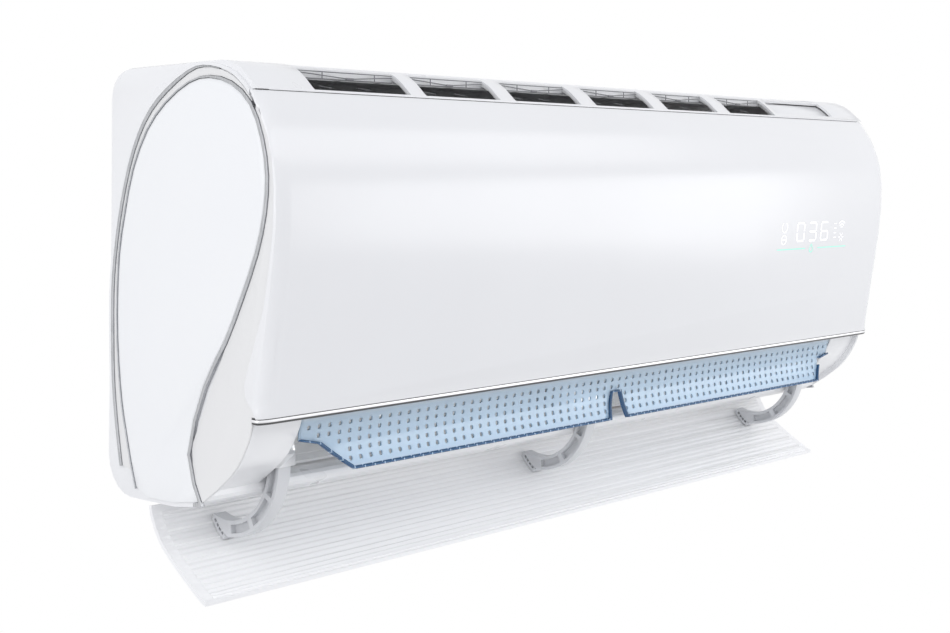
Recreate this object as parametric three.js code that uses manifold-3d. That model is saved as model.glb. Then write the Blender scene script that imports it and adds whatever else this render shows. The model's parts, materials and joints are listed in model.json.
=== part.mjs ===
// Wall-mounted mini split indoor unit, in millimetres.
// X runs along the unit, Y into the wall (the wall is Y = 0), Z is up.
// The origin lies on the back of the wall plate at mid height.
import * as THREE from 'three';
import { mergeVertices } from 'three/addons/utils/BufferGeometryUtils.js';
import Module from 'manifold-3d';

const wasm = await Module();
wasm.setup();

// ---------------------------------------------------------------- driving dimensions
const gap = 0.3;               // clearance between neighbouring pieces
const bodyWidth = 880;
const bodyDepth = 230;         // wall to the fullest point of the front panel
const bodyTop = 172.5;
const bodyBottom = -172;
const skin = 2.6;              // wall of the moulded housings
const sideSkin = 3;            // end cap, wing and trim layer on each side
const seamHeight = 148;        // top edge of the front panel
const panelBottom = -91;
const panelWall = 3;
const panelCorner = 14;        // how far the panel's end corners reach along X
const trimHeight = 4.6;
const outletHalf = 386.5;      // half width of the outlet
const flapHalf = 435;
const flapWall = 3.4;
const pivot = new THREE.Vector2(-93, -137);        // axis of the flap (Y, Z)
const armPlaces = [-377, 0, 377];
const armWidth = 12;
const armInner = 54;
const armOuter = 67;
const footSlots = 4;           // slots in the foot of each arm
const panelHinge = new THREE.Vector2(-200.6, 145.9);
const panelPin = 1.3;
const vaneHinge = new THREE.Vector2(-192, -92);    // axis of the diffuser vane
const vaneWall = 2;
const vanePin = 2;
const fanAxis = new THREE.Vector2(-108, -5);
const fanRadius = 48;
const fanLeft = -372;
const fanRight = 300;
const bladeCount = 26;
const fanRings = 2;
const coilDepth = 25;
const coilLeft = -368;
const coilRight = 300;
const tubeRadius = 3.5;
const tubesPerRow = 4;
const motorRadius = 36;
const swingPlaces = [-310, -248, -186, -124, -62, 62, 122, 182, 242, 300];
const plateWidth = 520;
const plateTop = 125;
const plateBottom = -78;
const plateWall = 1.2;

// ---------------------------------------------------------------- outlines
const halfWidth = bodyWidth / 2;
const frameHalf = halfWidth - sideSkin;
const point = (a, b) => new THREE.Vector2(a, b);
const toPoints = (pairs) => pairs.map(([a, b]) => point(a, b));
const spline = (pairs, steps) => new THREE.SplineCurve(toPoints(pairs)).getPoints(steps);

function arc(centre, radius, fromDegrees, toDegrees, steps) {
  return Array.from({ length: steps + 1 }, (_, i) => {
    const angle = THREE.MathUtils.degToRad(fromDegrees + ((toDegrees - fromDegrees) * i) / steps);
    return point(centre.x + radius * Math.cos(angle), centre.y + radius * Math.sin(angle));
  });
}

// Moves a path sideways, to the left of its direction for a positive distance.
function offsetPath(path, distance, closed = false) {
  const count = path.length;
  const reach = (i) => (typeof distance === 'function' ? distance(path[i]) : distance);
  return path.map((here, i) => {
    const before = closed ? path[(i + count - 1) % count] : path[Math.max(i - 1, 0)];
    const after = closed ? path[(i + 1) % count] : path[Math.min(i + 1, count - 1)];
    const edges = [here.clone().sub(before), after.clone().sub(here)].filter((e) => e.length() > 1e-6);
    const normals = edges.map((e) => point(-e.y, e.x).normalize());
    const mean = normals.reduce((sum, n) => sum.add(n), point(0, 0)).normalize();
    const stretch = 1 / Math.max(0.5, mean.dot(normals[0]));
    return here.clone().addScaledVector(mean, reach(i) * stretch);
  });
}

const strip = (path, thickness) => [...path, ...offsetPath(path, thickness).reverse()];

// A smooth value over a height, through [height, value] pairs.
function fairCurve(pairs) {
  const heights = pairs.map(([height]) => height);
  const values = pairs.map(([, value]) => value);
  const fair = new THREE.CubicInterpolant(heights, values, 1);
  return (height) => fair.evaluate(height)[0];
}

// ---------------------------------------------------------------- solids
const axisY = new THREE.Vector3(0, 1, 0);
const axisZ = new THREE.Vector3(0, 0, 1);
const axisX = new THREE.Vector3(1, 0, 0);
const alongX = new THREE.Matrix4().makeBasis(axisY, axisZ, axisX);
const alongY = new THREE.Matrix4().makeBasis(axisX, axisZ, axisY.clone().negate());

function solid(geometry) {
  const bare = geometry.clone();
  bare.deleteAttribute('normal');
  bare.deleteAttribute('uv');
  const merged = mergeVertices(bare, 1e-4);
  const vertProperties = Float32Array.from(merged.attributes.position.array);
  const triVerts = Uint32Array.from(merged.index.array);
  return new wasm.Manifold(new wasm.Mesh({ numProp: 3, vertProperties, triVerts }));
}

function extrude(outline, depth) {
  return new THREE.ExtrudeGeometry(new THREE.Shape(outline), { depth, bevelEnabled: false });
}

// A (Y, Z) outline between two X values.
function prism(outline, xLow, xHigh, holes = []) {
  const body = solid(extrude(outline, xHigh - xLow).applyMatrix4(alongX).translate(xLow, 0, 0));
  return holes.reduce((rest, hole) => rest.subtract(prism(hole, xLow - 1, xHigh + 1)), body);
}

// An (X, Z) outline between two Y values.
function slab(outline, yLow, yHigh, holes = []) {
  const body = solid(extrude(outline, yHigh - yLow).applyMatrix4(alongY).translate(0, yHigh, 0));
  return holes.reduce((rest, hole) => rest.subtract(slab(hole, yLow - 1, yHigh + 1)), body);
}

function box(xs, ys, zs) {
  const geometry = new THREE.BoxGeometry(xs[1] - xs[0], ys[1] - ys[0], zs[1] - zs[0]);
  return solid(geometry.translate((xs[0] + xs[1]) / 2, (ys[0] + ys[1]) / 2, (zs[0] + zs[1]) / 2));
}

function rod(centre, radius, xLow, xHigh, sides = 16) {
  const geometry = new THREE.CylinderGeometry(radius, radius, xHigh - xLow, sides);
  geometry.rotateZ(-Math.PI / 2).translate((xLow + xHigh) / 2, centre.x, centre.y);
  return solid(geometry);
}

const join = (first, ...rest) => rest.reduce((all, next) => all.add(next), first);
const cut = (first, ...rest) => rest.reduce((all, next) => all.subtract(next), first);

// Joins closed rings of equal length into one capped solid.
function loft(rings) {
  const count = rings[0].length;
  const vertices = rings.flat();
  const faces = [];
  for (let r = 0; r + 1 < rings.length; r++) {
    for (let i = 0; i < count; i++) {
      const j = (i + 1) % count;
      const [a, b] = [r * count + i, r * count + j];
      const [c, d] = [a + count, b + count];
      faces.push([a, b, d], [a, d, c]);
    }
  }
  const flat = (ring, [u, v]) => ring.map((p) => point(p.getComponent(u), p.getComponent(v)));
  const spread = new THREE.Box3().setFromPoints(rings[0]).getSize(new THREE.Vector3()).toArray();
  const dropped = spread.indexOf(Math.min(...spread));
  const kept = [0, 1, 2].filter((k) => k !== dropped);
  const start = flat(rings[0], kept);
  const caps = THREE.ShapeUtils.triangulateShape(start, []);
  const swap = !THREE.ShapeUtils.isClockWise(start);
  const last = (rings.length - 1) * count;
  const capSense = dropped === 1 ? !swap : swap;
  caps.forEach(([a, b, c]) => {
    faces.push(capSense ? [a, c, b] : [a, b, c]);
  });
  const end = THREE.ShapeUtils.triangulateShape(flat(rings.at(-1), kept), []);
  end.forEach(([a, b, c]) => {
    faces.push(capSense ? [last + a, last + b, last + c] : [last + a, last + c, last + b]);
  });
  const geometry = new THREE.BufferGeometry().setFromPoints(vertices);
  geometry.setIndex(faces.flat());
  let volume = 0;
  faces.forEach(([a, b, c]) => {
    volume += vertices[a].dot(vertices[b].clone().cross(vertices[c]));
  });
  if (volume < 0) geometry.setIndex(faces.map(([a, b, c]) => [a, c, b]).flat());
  return solid(geometry);
}

// A round tube through points, with rings that do not twist.
function sweep(route, radius, sides) {
  const rings = [];
  let side = new THREE.Vector3(0, 0, 1);
  route.forEach((here, i) => {
    const before = route[Math.max(i - 1, 0)];
    const after = route[Math.min(i + 1, route.length - 1)];
    const inward = here.clone().sub(before).normalize();
    const outward = after.clone().sub(here).normalize();
    const along = inward.clone().add(outward).normalize();
    if (Math.abs(side.dot(along)) > 0.95) side = new THREE.Vector3(0, 1, 0);
    side.addScaledVector(along, -side.dot(along)).normalize();
    const up = along.clone().cross(side);
    const ring = [];
    for (let k = 0; k < sides; k++) {
      const angle = (2 * Math.PI * k) / sides;
      const spoke = side.clone().multiplyScalar(Math.cos(angle)).addScaledVector(up, Math.sin(angle));
      ring.push(here.clone().addScaledVector(spoke, radius));
    }
    rings.push(ring);
  });
  return fanCapped(rings);
}

function fanCapped(rings) {
  const count = rings[0].length;
  const vertices = rings.flat();
  const faces = [];
  for (let r = 0; r + 1 < rings.length; r++) {
    for (let i = 0; i < count; i++) {
      const j = (i + 1) % count;
      faces.push([r * count + i, r * count + j, (r + 1) * count + j]);
      faces.push([r * count + i, (r + 1) * count + j, (r + 1) * count + i]);
    }
  }
  const last = (rings.length - 1) * count;
  for (let i = 1; i + 1 < count; i++) {
    faces.push([0, i + 1, i]);
    faces.push([last, last + i, last + i + 1]);
  }
  const geometry = new THREE.BufferGeometry().setFromPoints(vertices);
  geometry.setIndex(faces.flat());
  return solid(geometry);
}

// ---------------------------------------------------------------- the scene graph
const unit = new THREE.Group();

const finishes = {
  gloss: { color: 0xf4f5f7, roughness: 0.18, metalness: 0 },
  satin: { color: 0xeceef0, roughness: 0.4, metalness: 0 },
  wing: { color: 0xe4e5e6, roughness: 0.35, metalness: 0 },
  silver: { color: 0x9a9da3, roughness: 0.25, metalness: 0.9 },
  vane: { color: 0xaecbe6, roughness: 0.15, metalness: 0 },
  aluminium: { color: 0x2a2c2f, roughness: 0.5, metalness: 0.6 },
  copper: { color: 0xb87351, roughness: 0.3, metalness: 0.9 },
  brass: { color: 0xc9a35a, roughness: 0.3, metalness: 0.9 },
  steel: { color: 0xa9adb2, roughness: 0.4, metalness: 0.8 },
  darkPlastic: { color: 0x2c2e31, roughness: 0.5, metalness: 0 },
  board: { color: 0x2f6b46, roughness: 0.5, metalness: 0 },
  mesh: { color: 0x3a3d42, roughness: 0.6, metalness: 0 },
};

function add(name, shape, finish, parent = unit) {
  const mesh = shape.asOriginal().simplify(0.01).getMesh();
  const geometry = new THREE.BufferGeometry();
  geometry.setAttribute('position', new THREE.BufferAttribute(mesh.vertProperties, 3));
  geometry.setIndex(Array.from(mesh.triVerts));
  const piece = new THREE.Mesh(geometry, new THREE.MeshStandardMaterial(finishes[finish]));
  piece.name = name;
  parent.add(piece);
  return piece;
}

// ---------------------------------------------------------------- front panel curves
// Heights are shares of the panel's height; values are set back from the fullest point.
const panelHeight = seamHeight - panelBottom;
const frontSetback = fairCurve([
  [0, 20.5], [0.1, 16.6], [0.27, 10], [0.48, 3], [0.645, 0], [0.73, 1],
  [0.833, 6], [0.923, 14.6], [1, 27.8],
]);
const rimSetback = fairCurve([
  [0, 25.5], [0.02, 28.5], [0.05, 36.5], [0.1, 39], [0.14, 35.5], [0.24, 25.7], [0.36, 14.8],
  [0.47, 9.8], [0.58, 5.6], [0.67, 4.5], [0.79, 7], [0.9, 16.5], [0.97, 28], [1, 32.3],
]);
const shareOf = (height) => (height - panelBottom) / panelHeight;
const frontY = (height) => -bodyDepth + frontSetback(shareOf(height));
const rimY = (height) => -bodyDepth + rimSetback(shareOf(height));
const cornerDepth = (height) => Math.min(10, Math.max(1.5, rimY(height) - frontY(height) - 0.5));

const steps = (count) => Array.from({ length: count + 1 }, (_, i) => i / count);

function panelRing(height) {
  const deep = cornerDepth(height);
  const front = frontY(height);
  const corner = (inset, side) => steps(4).map((t) => {
    const angle = (t * Math.PI) / 2;
    const wide = panelCorner - inset;
    const tall = Math.max(deep - inset, 0.6);
    const x = halfWidth - panelCorner + wide * Math.cos(angle);
    return new THREE.Vector3(side * x, front + inset + tall - tall * Math.sin(angle), height);
  });
  const side = (inset, sign) => new THREE.Vector3(sign * (halfWidth - inset), rimY(height), height);
  const outer = [side(0, -1), ...corner(0, -1), ...corner(0, 1).reverse(), side(0, 1)];
  const sheet = panelWall - 0.6;
  const inner = [side(sheet, -1), ...corner(sheet, -1), ...corner(sheet, 1).reverse(), side(sheet, 1)];
  return [...outer, ...inner.reverse()];
}

const panelShares = [0, 0.025, 0.06, 0.1, 0.14, 0.22, 0.34, 0.46, 0.58, 0.7, 0.79, 0.86, 0.92, 0.96, 1];
const panelLevels = panelShares.map((share) => panelBottom + share * panelHeight);

// The panel hangs on two pins close behind its top edge.
function hingeLug(side) {
  const inner = side * (frameHalf - skin - 12);
  const outer = side * (frameHalf - skin - 8.6);
  const reach = side * (frameHalf - skin - 1);
  const neck = [panelHinge.y - 9, panelHinge.y - 5, panelHinge.y - 1.2, panelHinge.y + 1.4];
  const front = neck.map((height) => point(frontY(height) + 1.6, height));
  const plate = [
    ...front, point(panelHinge.x + 1.2, panelHinge.y + 1.4), point(panelHinge.x + 1.9, panelHinge.y - 1.2),
    point(panelHinge.x - 1.5, panelHinge.y - 9),
  ];
  const lug = prism(plate, Math.min(inner, outer), Math.max(inner, outer));
  const pin = rod(panelHinge, panelPin, Math.min(inner, reach), Math.max(inner, reach), 12);
  return join(lug, pin);
}

// ---------------------------------------------------------------- housing outline
const backPlane = -(plateWall + gap);
const frameBack = backPlane - 6.2;
const lip = point(-202.4, 149.4);
const windowFront = -198.3;
const windowBack = -176;
const topCorner = 25;
const bottomCorner = 32;
const lipFront = point(-139.5, -160.5);

const topFront = spline([
  [lip.x, lip.y], [windowFront, 152.4], [-187, 162.2], [windowBack, 168.6],
  [-164, bodyTop - 0.8], [-150, bodyTop],
], 14);
const topBack = arc(point(frameBack - topCorner, bodyTop - topCorner), topCorner, 90, 0, 5);
const bottomBack = arc(point(frameBack - bottomCorner, bodyBottom + bottomCorner), bottomCorner, 0, -90, 5);
const bottomRun = toPoints([[-100, bodyBottom + 1.5], [-128, bodyBottom + 5.5]]);
const cheek = spline([
  [lipFront.x, lipFront.y], [-161, -146], [-180, -130], [-193.5, -110], [-198.4, -97],
], 10);
const frontEdge = [panelBottom + 0.6, ...panelLevels.slice(2, -1)].map((height) => {
  return point(frontY(height) + cornerDepth(height) + 1.2, height);
});
const hullOutline = [
  ...topFront, ...topBack, ...bottomBack, ...bottomRun, ...cheek,
  point(-198.4, panelBottom + 0.6), ...frontEdge,
];

// The housing with its top and back edges rounded towards both ends.
const endRounding = 6;
function hull() {
  const soft = topFront.length + topBack.length + 2;
  const stations = [[0, 1], [1.8, 0.3], [endRounding, 0]];
  const ring = (x, share) => {
    const depth = (p) => (p.y > 100 ? endRounding * share * THREE.MathUtils.smoothstep(p.x, -165, -95) : 0);
    const moved = offsetPath(hullOutline, (p) => -depth(p), true);
    return moved.map((p, i) => {
      const q = i < soft ? p : hullOutline[i];
      return new THREE.Vector3(x, q.x, q.y);
    });
  };
  const left = stations.map(([inset, share]) => ring(-frameHalf + inset, share));
  const right = stations.map(([inset, share]) => ring(frameHalf - inset, share)).reverse();
  return loft([...left, ...right]);
}

const windows = [
  [-381, -280], [-263, -174], [-155, -66], [-44, 44], [66, 151], [173, 258],
];
const sillBack = -199.3;       // rear of the thin sill in front of each window
const blankPanel = [258 + 6, 381];
const grilleBack = -52;
const grilleFront = -146;

// The closed flap's outer face is the cheek curve, so the seat lies under it.
const seatDepth = flapWall + 2.2;
const seat = offsetPath(cheek, -seatDepth);

function flapSeatCutter() {
  const outer = offsetPath(cheek, 12);
  return prism([...seat, ...outer.reverse()], -flapHalf - 0.6, flapHalf + 0.6);
}

function frontFrame() {
  const inner = offsetPath(hullOutline, -skin, true);
  let frame = cut(hull(), prism(inner, -frameHalf + skin, frameHalf - skin));
  // open back
  const rearOpening = [bodyBottom + bottomCorner, bodyTop - topCorner];
  frame = cut(frame, box([-frameHalf + skin, frameHalf - skin], [frameBack - skin - 1, 5], rearOpening));
  frame = cut(frame, box([-frameHalf - 1, frameHalf + 1], [frameBack, 5], [-200, 200]));
  // the front behind the panel
  frame = cut(frame, box([-418, 418], [-240, -186], [-72, 136]));
  // seat of the closed flap, with its own wall behind
  const seatWall = prism(strip(seat, -skin), -frameHalf + 1, frameHalf - 1);
  frame = join(frame, seatWall);
  frame = cut(frame, flapSeatCutter());
  // outlet
  const mouth = [
    ...offsetPath(cheek, 14), point(-199, -84), point(-186, -84), point(-120, -141), point(-120, -150),
    point(-132, -156.5),
  ];
  frame = cut(frame, prism(mouth, -outletHalf, outletHalf));
  // lip at the lower edge of the outlet
  const lipPath = spline([
    [-126, bodyBottom + 6.6], [-136, -162.6], [-141, -157.5], [-138.5, -151.5], [-129, -149],
  ], 8);
  frame = join(frame, prism(strip(lipPath, -skin), -frameHalf + 1, frameHalf - 1));
  // inner walls beside the outlet
  const jamb = [
    ...offsetPath(cheek, -seatDepth - 0.5), point(-196, -97.5), point(-196.5, -80), point(-186, -74),
    point(-165, -61), point(-130.5, -149),
  ];
  for (const side of [-1, 1]) {
    const xs = [side * outletHalf, side * (outletHalf + skin)].sort((a, b) => a - b);
    frame = join(frame, prism(jamb, ...xs));
  }
  frame = cut(frame, rod(vaneHinge, vanePin + 0.4, -outletHalf - 8, outletHalf + 8, 12));
  // cross beam that carries the diffuser vane
  const beam = box([-frameHalf + 1, frameHalf - 1], [-197.5, -186], [-86, -72]);
  frame = join(frame, beam);
  // windows in the front of the top, with deep ribs between them
  for (const [low, high] of windows) {
    frame = cut(frame, box([low, high], [sillBack, windowBack], [120, 190]));
    frame = cut(frame, box([low, high], [lip.x - 2, windowBack], [lip.y + 1, 190]));
  }
  const ribPath = spline([[windowFront + 1.5, 150.4], [-187, 159.5], [windowBack + 1, 165.8]], 6);
  for (let i = 0; i + 1 < windows.length; i++) {
    const rib = prism(strip(ribPath, -1.8), windows[i][1] + 1, windows[i + 1][0] - 1);
    frame = join(frame, rib);
  }
  // the deck behind the windows is set down, so ribs and end pieces stand proud
  const band = topFront.filter((p) => p.x > windowBack - 1 && p.x < -149);
  const bandSection = [...offsetPath(band, -1.2), ...offsetPath(band, 5).reverse()];
  const bandTool = prism(bandSection, windows[0][0], blankPanel[1]);
  frame = cut(frame, bandTool);
  const flange = box([windows[0][0], windows.at(-1)[1] + 6], [windowBack, windowBack + 2.4], [160.4, 168]);
  frame = join(frame, flange);
  // blank recess at the right end
  const recess = topFront.filter((p) => p.x < windowBack + 2 && p.x > windowFront - 1);
  const recessTool = prism([...offsetPath(recess, -4), ...offsetPath(recess, 5).reverse()], ...blankPanel);
  const recessFloor = prism(strip(offsetPath(recess, -4), -skin), blankPanel[0] - 1, blankPanel[1] + 1);
  frame = cut(join(frame, recessFloor), recessTool);
  // opening for the top grille
  frame = cut(frame, box([windows[0][0], blankPanel[1]], [grilleFront, grilleBack], [150, 190]));
  // swing room of the panel's top edge, and the wall behind the panel kept clear of it
  const room = [panelHinge, ...arc(panelHinge, 3.2, 20, 215, 12)];
  frame = cut(frame, prism(room, -halfWidth - 1, halfWidth + 1));
  const behind = steps(5).map((t) => 134 + t * (panelHinge.y - 134)).map((height) => {
    return point(frontY(height) + panelWall + 0.1, height);
  });
  const ahead = [...behind, point(-240, panelHinge.y), point(-240, 134)];
  frame = cut(frame, prism(ahead, -frameHalf - 1, frameHalf + 1));
  const corner = panelHinge.x + 3.4;
  for (const side of [-1, 1]) {
    const xs = [side * (halfWidth - panelCorner), side * (frameHalf + 1)].sort((a, b) => a - b);
    frame = cut(frame, box(xs, [-240, corner], [134, panelHinge.y + 3]));
    const bay = [side * (frameHalf - skin - 14), side * (frameHalf - skin)].sort((a, b) => a - b);
    frame = cut(frame, box(bay, [-240, panelHinge.x + 5], [panelHinge.y - 12, panelHinge.y + 2]));
    const seat = [side * (frameHalf - skin - 7.6), side * (frameHalf - skin - 4)].sort((a, b) => a - b);
    const cradle = [
      point(panelHinge.x - 0.6, panelHinge.y - 5), point(panelHinge.x + 9, panelHinge.y - 5),
      point(panelHinge.x + 9, panelHinge.y + 1.2), point(panelHinge.x + 2.4, panelHinge.y + 1.2),
      ...arc(panelHinge, panelPin + gap, 5, -143, 8),
    ];
    const arm = [seat[side > 0 ? 0 : 1], side * (frameHalf - skin + 0.5)].sort((a, b) => a - b);
    const root = box(arm, [panelHinge.x + 3, panelHinge.x + 9], [panelHinge.y - 5, panelHinge.y + 1.2]);
    frame = join(frame, prism(cradle, ...seat), root);
    frame = join(frame, sideRim(side));
  }
  return frame;
}

// ---------------------------------------------------------------- side pieces
// The edge of the teardrop cap on each side, clockwise from the bottom front.
const capLine = spline([
  [-137, -163], [-122, -127], [-142, -74], [-168, -38], [-187.5, -5], [-205, 29], [-214.4, 58],
  [-217, 85], [-211.5, 112], [-198, 138], [-175, 154], [-148, 160], [-122, 157], [-91, 142.5],
  [-66, 122], [-46, 91], [-34, 55], [-26, 22], [-23, -24], [-25, -64], [-30, -98],
  [-36, -120], [-43, -144], [-50, -163],
], 46);
const capLoop = [...capLine, point(-66, -169), point(-100, -168.8)];
// The outer edge of the grey surround, from the panel's corner over the top and down the rear.
const rimLine = spline([
  [-199.5, 140.6], [-187, 153], [-171, 162.3], [-147, 167.8], [-124, 165.9], [-91, 151], [-66, 132.5],
  [-47, 106], [-33, 72], [-23.5, 37], [-17.5, 0], [-16.6, -40], [-18, -82], [-22.5, -115], [-29, -148],
], 34);
const trimWidth = 3;
const rimWidth = 2.6;

// The silver bead is full in front and thins out over the top.
function capBead(p) {
  const front = THREE.MathUtils.smoothstep(-p.x, 120, 205);
  const foot = p.y < 20 && p.x < -90 ? 1 : 0;
  return trimWidth * (0.36 + 0.64 * Math.max(front, foot));
}

const rearBead = (p) => trimWidth * (0.2 + 0.8 * THREE.MathUtils.smoothstep(p.x, -165, -80));

function layer(outline, side, low, high) {
  const xs = [side * low, side * high].sort((a, b) => a - b);
  return prism(outline, ...xs);
}

function endCap(side) {
  const outline = offsetPath(capLoop, (p) => -(capBead(p) / 2 + gap), true);
  const bevel = (p) => {
    const back = THREE.MathUtils.smoothstep(p.x, -190, -60);
    const top = THREE.MathUtils.smoothstep(p.y, 40, 150);
    const bottom = THREE.MathUtils.smoothstep(-p.y, 145, 166);
    return -Math.max(1, 5 * top, 4 * back, 14 * bottom);
  };
  const face = offsetPath(outline, bevel, true);
  const at = (ring, x) => ring.map((p) => new THREE.Vector3(side * x, p.x, p.y));
  return loft([at(outline, frameHalf + gap), at(outline, halfWidth - 1), at(face, halfWidth)]);
}

function sideTrim(side) {
  const ring = layer(offsetPath(capLoop, (p) => capBead(p) / 2, true), side, frameHalf + gap, halfWidth);
  const bore = layer(offsetPath(capLoop, (p) => -capBead(p) / 2, true), side, frameHalf, halfWidth + 1);
  const xs = [side * frameHalf, side * (halfWidth + 1)].sort((a, b) => a - b);
  return cut(ring, bore, box(xs, [-128, -50], [-180, -160]));
}

// The second silver bead runs from the top down the rear of the grey surround.
function rearTrim(side) {
  const run = rimLine.filter((p) => p.x > -166);
  const outer = offsetPath(run, (p) => rearBead(p) / 2);
  const inner = offsetPath(run, (p) => -rearBead(p) / 2);
  return layer([...outer, ...inner.reverse()], side, frameHalf + gap, halfWidth - 0.2);
}

// Raised edge of the housing round the surround.
function sideRim(side) {
  const inner = offsetPath(rimLine, (p) => rearBead(p) / 2 + gap);
  const outer = offsetPath(rimLine, (p) => rearBead(p) / 2 + gap + rimWidth);
  const rim = layer([...inner, ...outer.reverse()], side, frameHalf - 1, halfWidth - 0.4);
  const clear = cut(rim.intersect(layer(hullOutline, side, frameHalf - 1, halfWidth)), panelShadow());
  return clear.decompose().sort((a, b) => b.volume() - a.volume())[0];
}

// Panel return seen from the side, with clearance, so the side pieces stop short of it.
function panelShadow() {
  const edge = panelLevels.map((height) => point(rimY(height) + 0.45, height));
  const low = point(edge[0].x, panelBottom - trimHeight - 1.2);
  const outline = [low, ...edge, point(edge.at(-1).x, 149), point(-260, 149), point(-260, low.y)];
  const swing = arc(panelHinge, 4.4, 0, 330, 11);
  return join(prism(outline, -halfWidth - 1, halfWidth + 1), prism(swing, -halfWidth - 1, halfWidth + 1));
}

// The grey surround: the wing in front of the cap, and the narrow band over the top and down the rear.
function surround(side) {
  const around = [
    ...offsetPath(rimLine, (p) => -(rearBead(p) / 2 + gap)),
    point(-60, -152), point(-110, 0), point(-170, 100),
  ];
  const front = [
    point(-130, -200), point(-240, -200), point(-240, 146), point(-204, 140), point(-200, 120),
    point(-190, 25), point(-168, -40), point(-125, -120),
  ];
  const reach = [frameHalf + gap, halfWidth - 1.2];
  const inHull = layer(hullOutline, side, ...reach);
  let plate = layer(around, side, ...reach).add(layer(front, side, ...reach)).intersect(inHull);
  const capHole = offsetPath(capLoop, (p) => capBead(p) / 2 + gap, true);
  plate = cut(plate, layer(capHole, side, 430, 450), panelShadow());
  const xs = [side * frameHalf, side * (halfWidth + 1)].sort((a, b) => a - b);
  plate = cut(plate, box(xs, [-128, 0], [-180, -150]));
  return plate.decompose().sort((a, b) => b.volume() - a.volume());
}

// ---------------------------------------------------------------- chassis
const scrollRadius = (angle) => 58 + 8 * (1 - THREE.MathUtils.clamp((angle + 30) / 90, 0, 1));
const scroll = [];
for (let angle = 60; angle >= -30; angle -= 15) {
  scroll.push(...arc(fanAxis, scrollRadius(angle), angle, angle, 1).slice(0, 1));
}
const floorRun = spline([
  [scroll.at(-1).x, scroll.at(-1).y], [-59, -74], [-78, -105], [-104, -131], [-127, -145.5],
], 10);
const duct = [...scroll, ...floorRun.slice(1)];
const partitionRight = 316;
const partitionLeft = -outletHalf - 1;
const chassisHalf = frameHalf - 8;
const channelTop = -84;

function rearChassis() {
  // back plate inside the housing's rear edge; it ends above the pipe channel
  const high = bodyTop - topCorner;
  const low = channelTop;
  const plateOutline = [
    ...arc(point(-chassisHalf + 12, high - 12), 12, 180, 90, 3),
    ...arc(point(chassisHalf - 12, high - 12), 12, 90, 0, 3),
    ...arc(point(chassisHalf - 8, low + 8), 8, 0, -90, 3),
    ...arc(point(-chassisHalf + 8, low + 8), 8, -90, -180, 3),
  ];
  const slots = [-160, 160].map((x) => toPoints([
    [x - 14, 98], [x + 14, 98], [x + 14, 112], [x - 14, 112],
  ]));
  let chassis = slab(plateOutline, backPlane - skin, backPlane, slots);
  const rim = slab(plateOutline, frameBack + gap, backPlane - 1);
  const rimInner = slab(offsetPath(plateOutline, -skin, true), frameBack - 5, 0);
  const rimOuter = slab(offsetPath(plateOutline, skin, true), frameBack - 5, 0);
  const hollow = rimInner.volume() < rimOuter.volume() ? rimInner : rimOuter;
  chassis = join(chassis, cut(rim, hollow));
  // scroll and outlet floor
  const shell = prism(strip(duct, skin), -outletHalf - skin, partitionRight);
  const floor = prism(strip(floorRun, skin), partitionRight - 1, outletHalf + skin);
  chassis = join(chassis, shell, floor);
  // webs from the back plate to the scroll, and the ledge that carries the rear coil
  const upper = box([partitionLeft, partitionRight], [-76, backPlane - 1], [duct[0].y - 1.5, duct[0].y + 1]);
  const lower = box([partitionLeft, partitionRight], [-57, backPlane - 1], [-79, -76.5]);
  const ledge = box([partitionLeft, partitionRight], [-41.5, -39], [duct[0].y, 66]);
  chassis = join(chassis, upper, lower, ledge);
  // end walls of the fan chamber, and the wider mouth of the outlet on the right
  const mouthTop = -56;
  const brow = [point(-163.5, mouthTop - 2), point(-158.8, -52), point(-153.3, -43), point(-152.8, -29)];
  const crown = [point(-152.8, 44), point(-84, 60), point(backPlane - 1, 60)];
  const leftEnd = [point(backPlane - 1, -30), ...floorRun.filter((p) => p.y < -60), ...brow, ...crown];
  const rightEnd = [point(backPlane - 1, mouthTop), point(-158.5, mouthTop), ...brow.slice(1), ...crown];
  const lowFloor = floorRun.filter((p) => p.y < mouthTop);
  const mouthEnd = [
    point(lowFloor[0].x + 1, mouthTop + skin), ...lowFloor, brow[0], point(-157.8, mouthTop + skin),
  ];
  const roof = box([partitionRight, outletHalf + skin], [-157.8, floorRun[0].x], [mouthTop, mouthTop + skin]);
  chassis = join(chassis, prism(leftEnd, -outletHalf - skin, -outletHalf), roof);
  chassis = join(chassis, prism(rightEnd, partitionRight, partitionRight + skin));
  chassis = join(chassis, prism(mouthEnd, outletHalf, outletHalf + skin));
  const bore = rod(fanAxis, 9, -outletHalf - 10, -outletHalf + 10, 16);
  const motorBore = rod(fanAxis, 14, partitionRight - 10, partitionRight + 10, 16);
  return cut(chassis, bore, motorBore);
}

// ---------------------------------------------------------------- drain pan
// it is also the duct's ceiling
const coilFoot = -36;
function drainPan() {
  const outline = toPoints([
    [-196, -32], [-196, -66], [-184.5, -69], [-184, -78], [-177, -74], [-160, -52], [-155, -43],
    [-153.6, -31], [-156, -29], [-158.5, -33], [-160.5, -46], [-166, -50], [-188, -52], [-193.4, -48],
    [-193.4, -32],
  ]);
  let pan = prism(outline, -outletHalf + 0.4, outletHalf - 0.4);
  for (const x of [-384, -200, 0, 200, 312]) {
    pan = join(pan, box([x - 2, x + 2], [-192, -161.5], [-53, coilFoot - gap]));
  }
  for (const x of [-outletHalf + 0.4, outletHalf - 3]) {
    pan = join(pan, box([x, x + 2.6], [-194, -159.5], [-52, -34]));
  }
  const spout = rod(point(-176, -43), 6.5, outletHalf - 2, outletHalf + 14, 12);
  return cut(join(pan, spout), rod(point(-176, -43), 5, outletHalf - 8, outletHalf + 20, 12));
}

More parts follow.
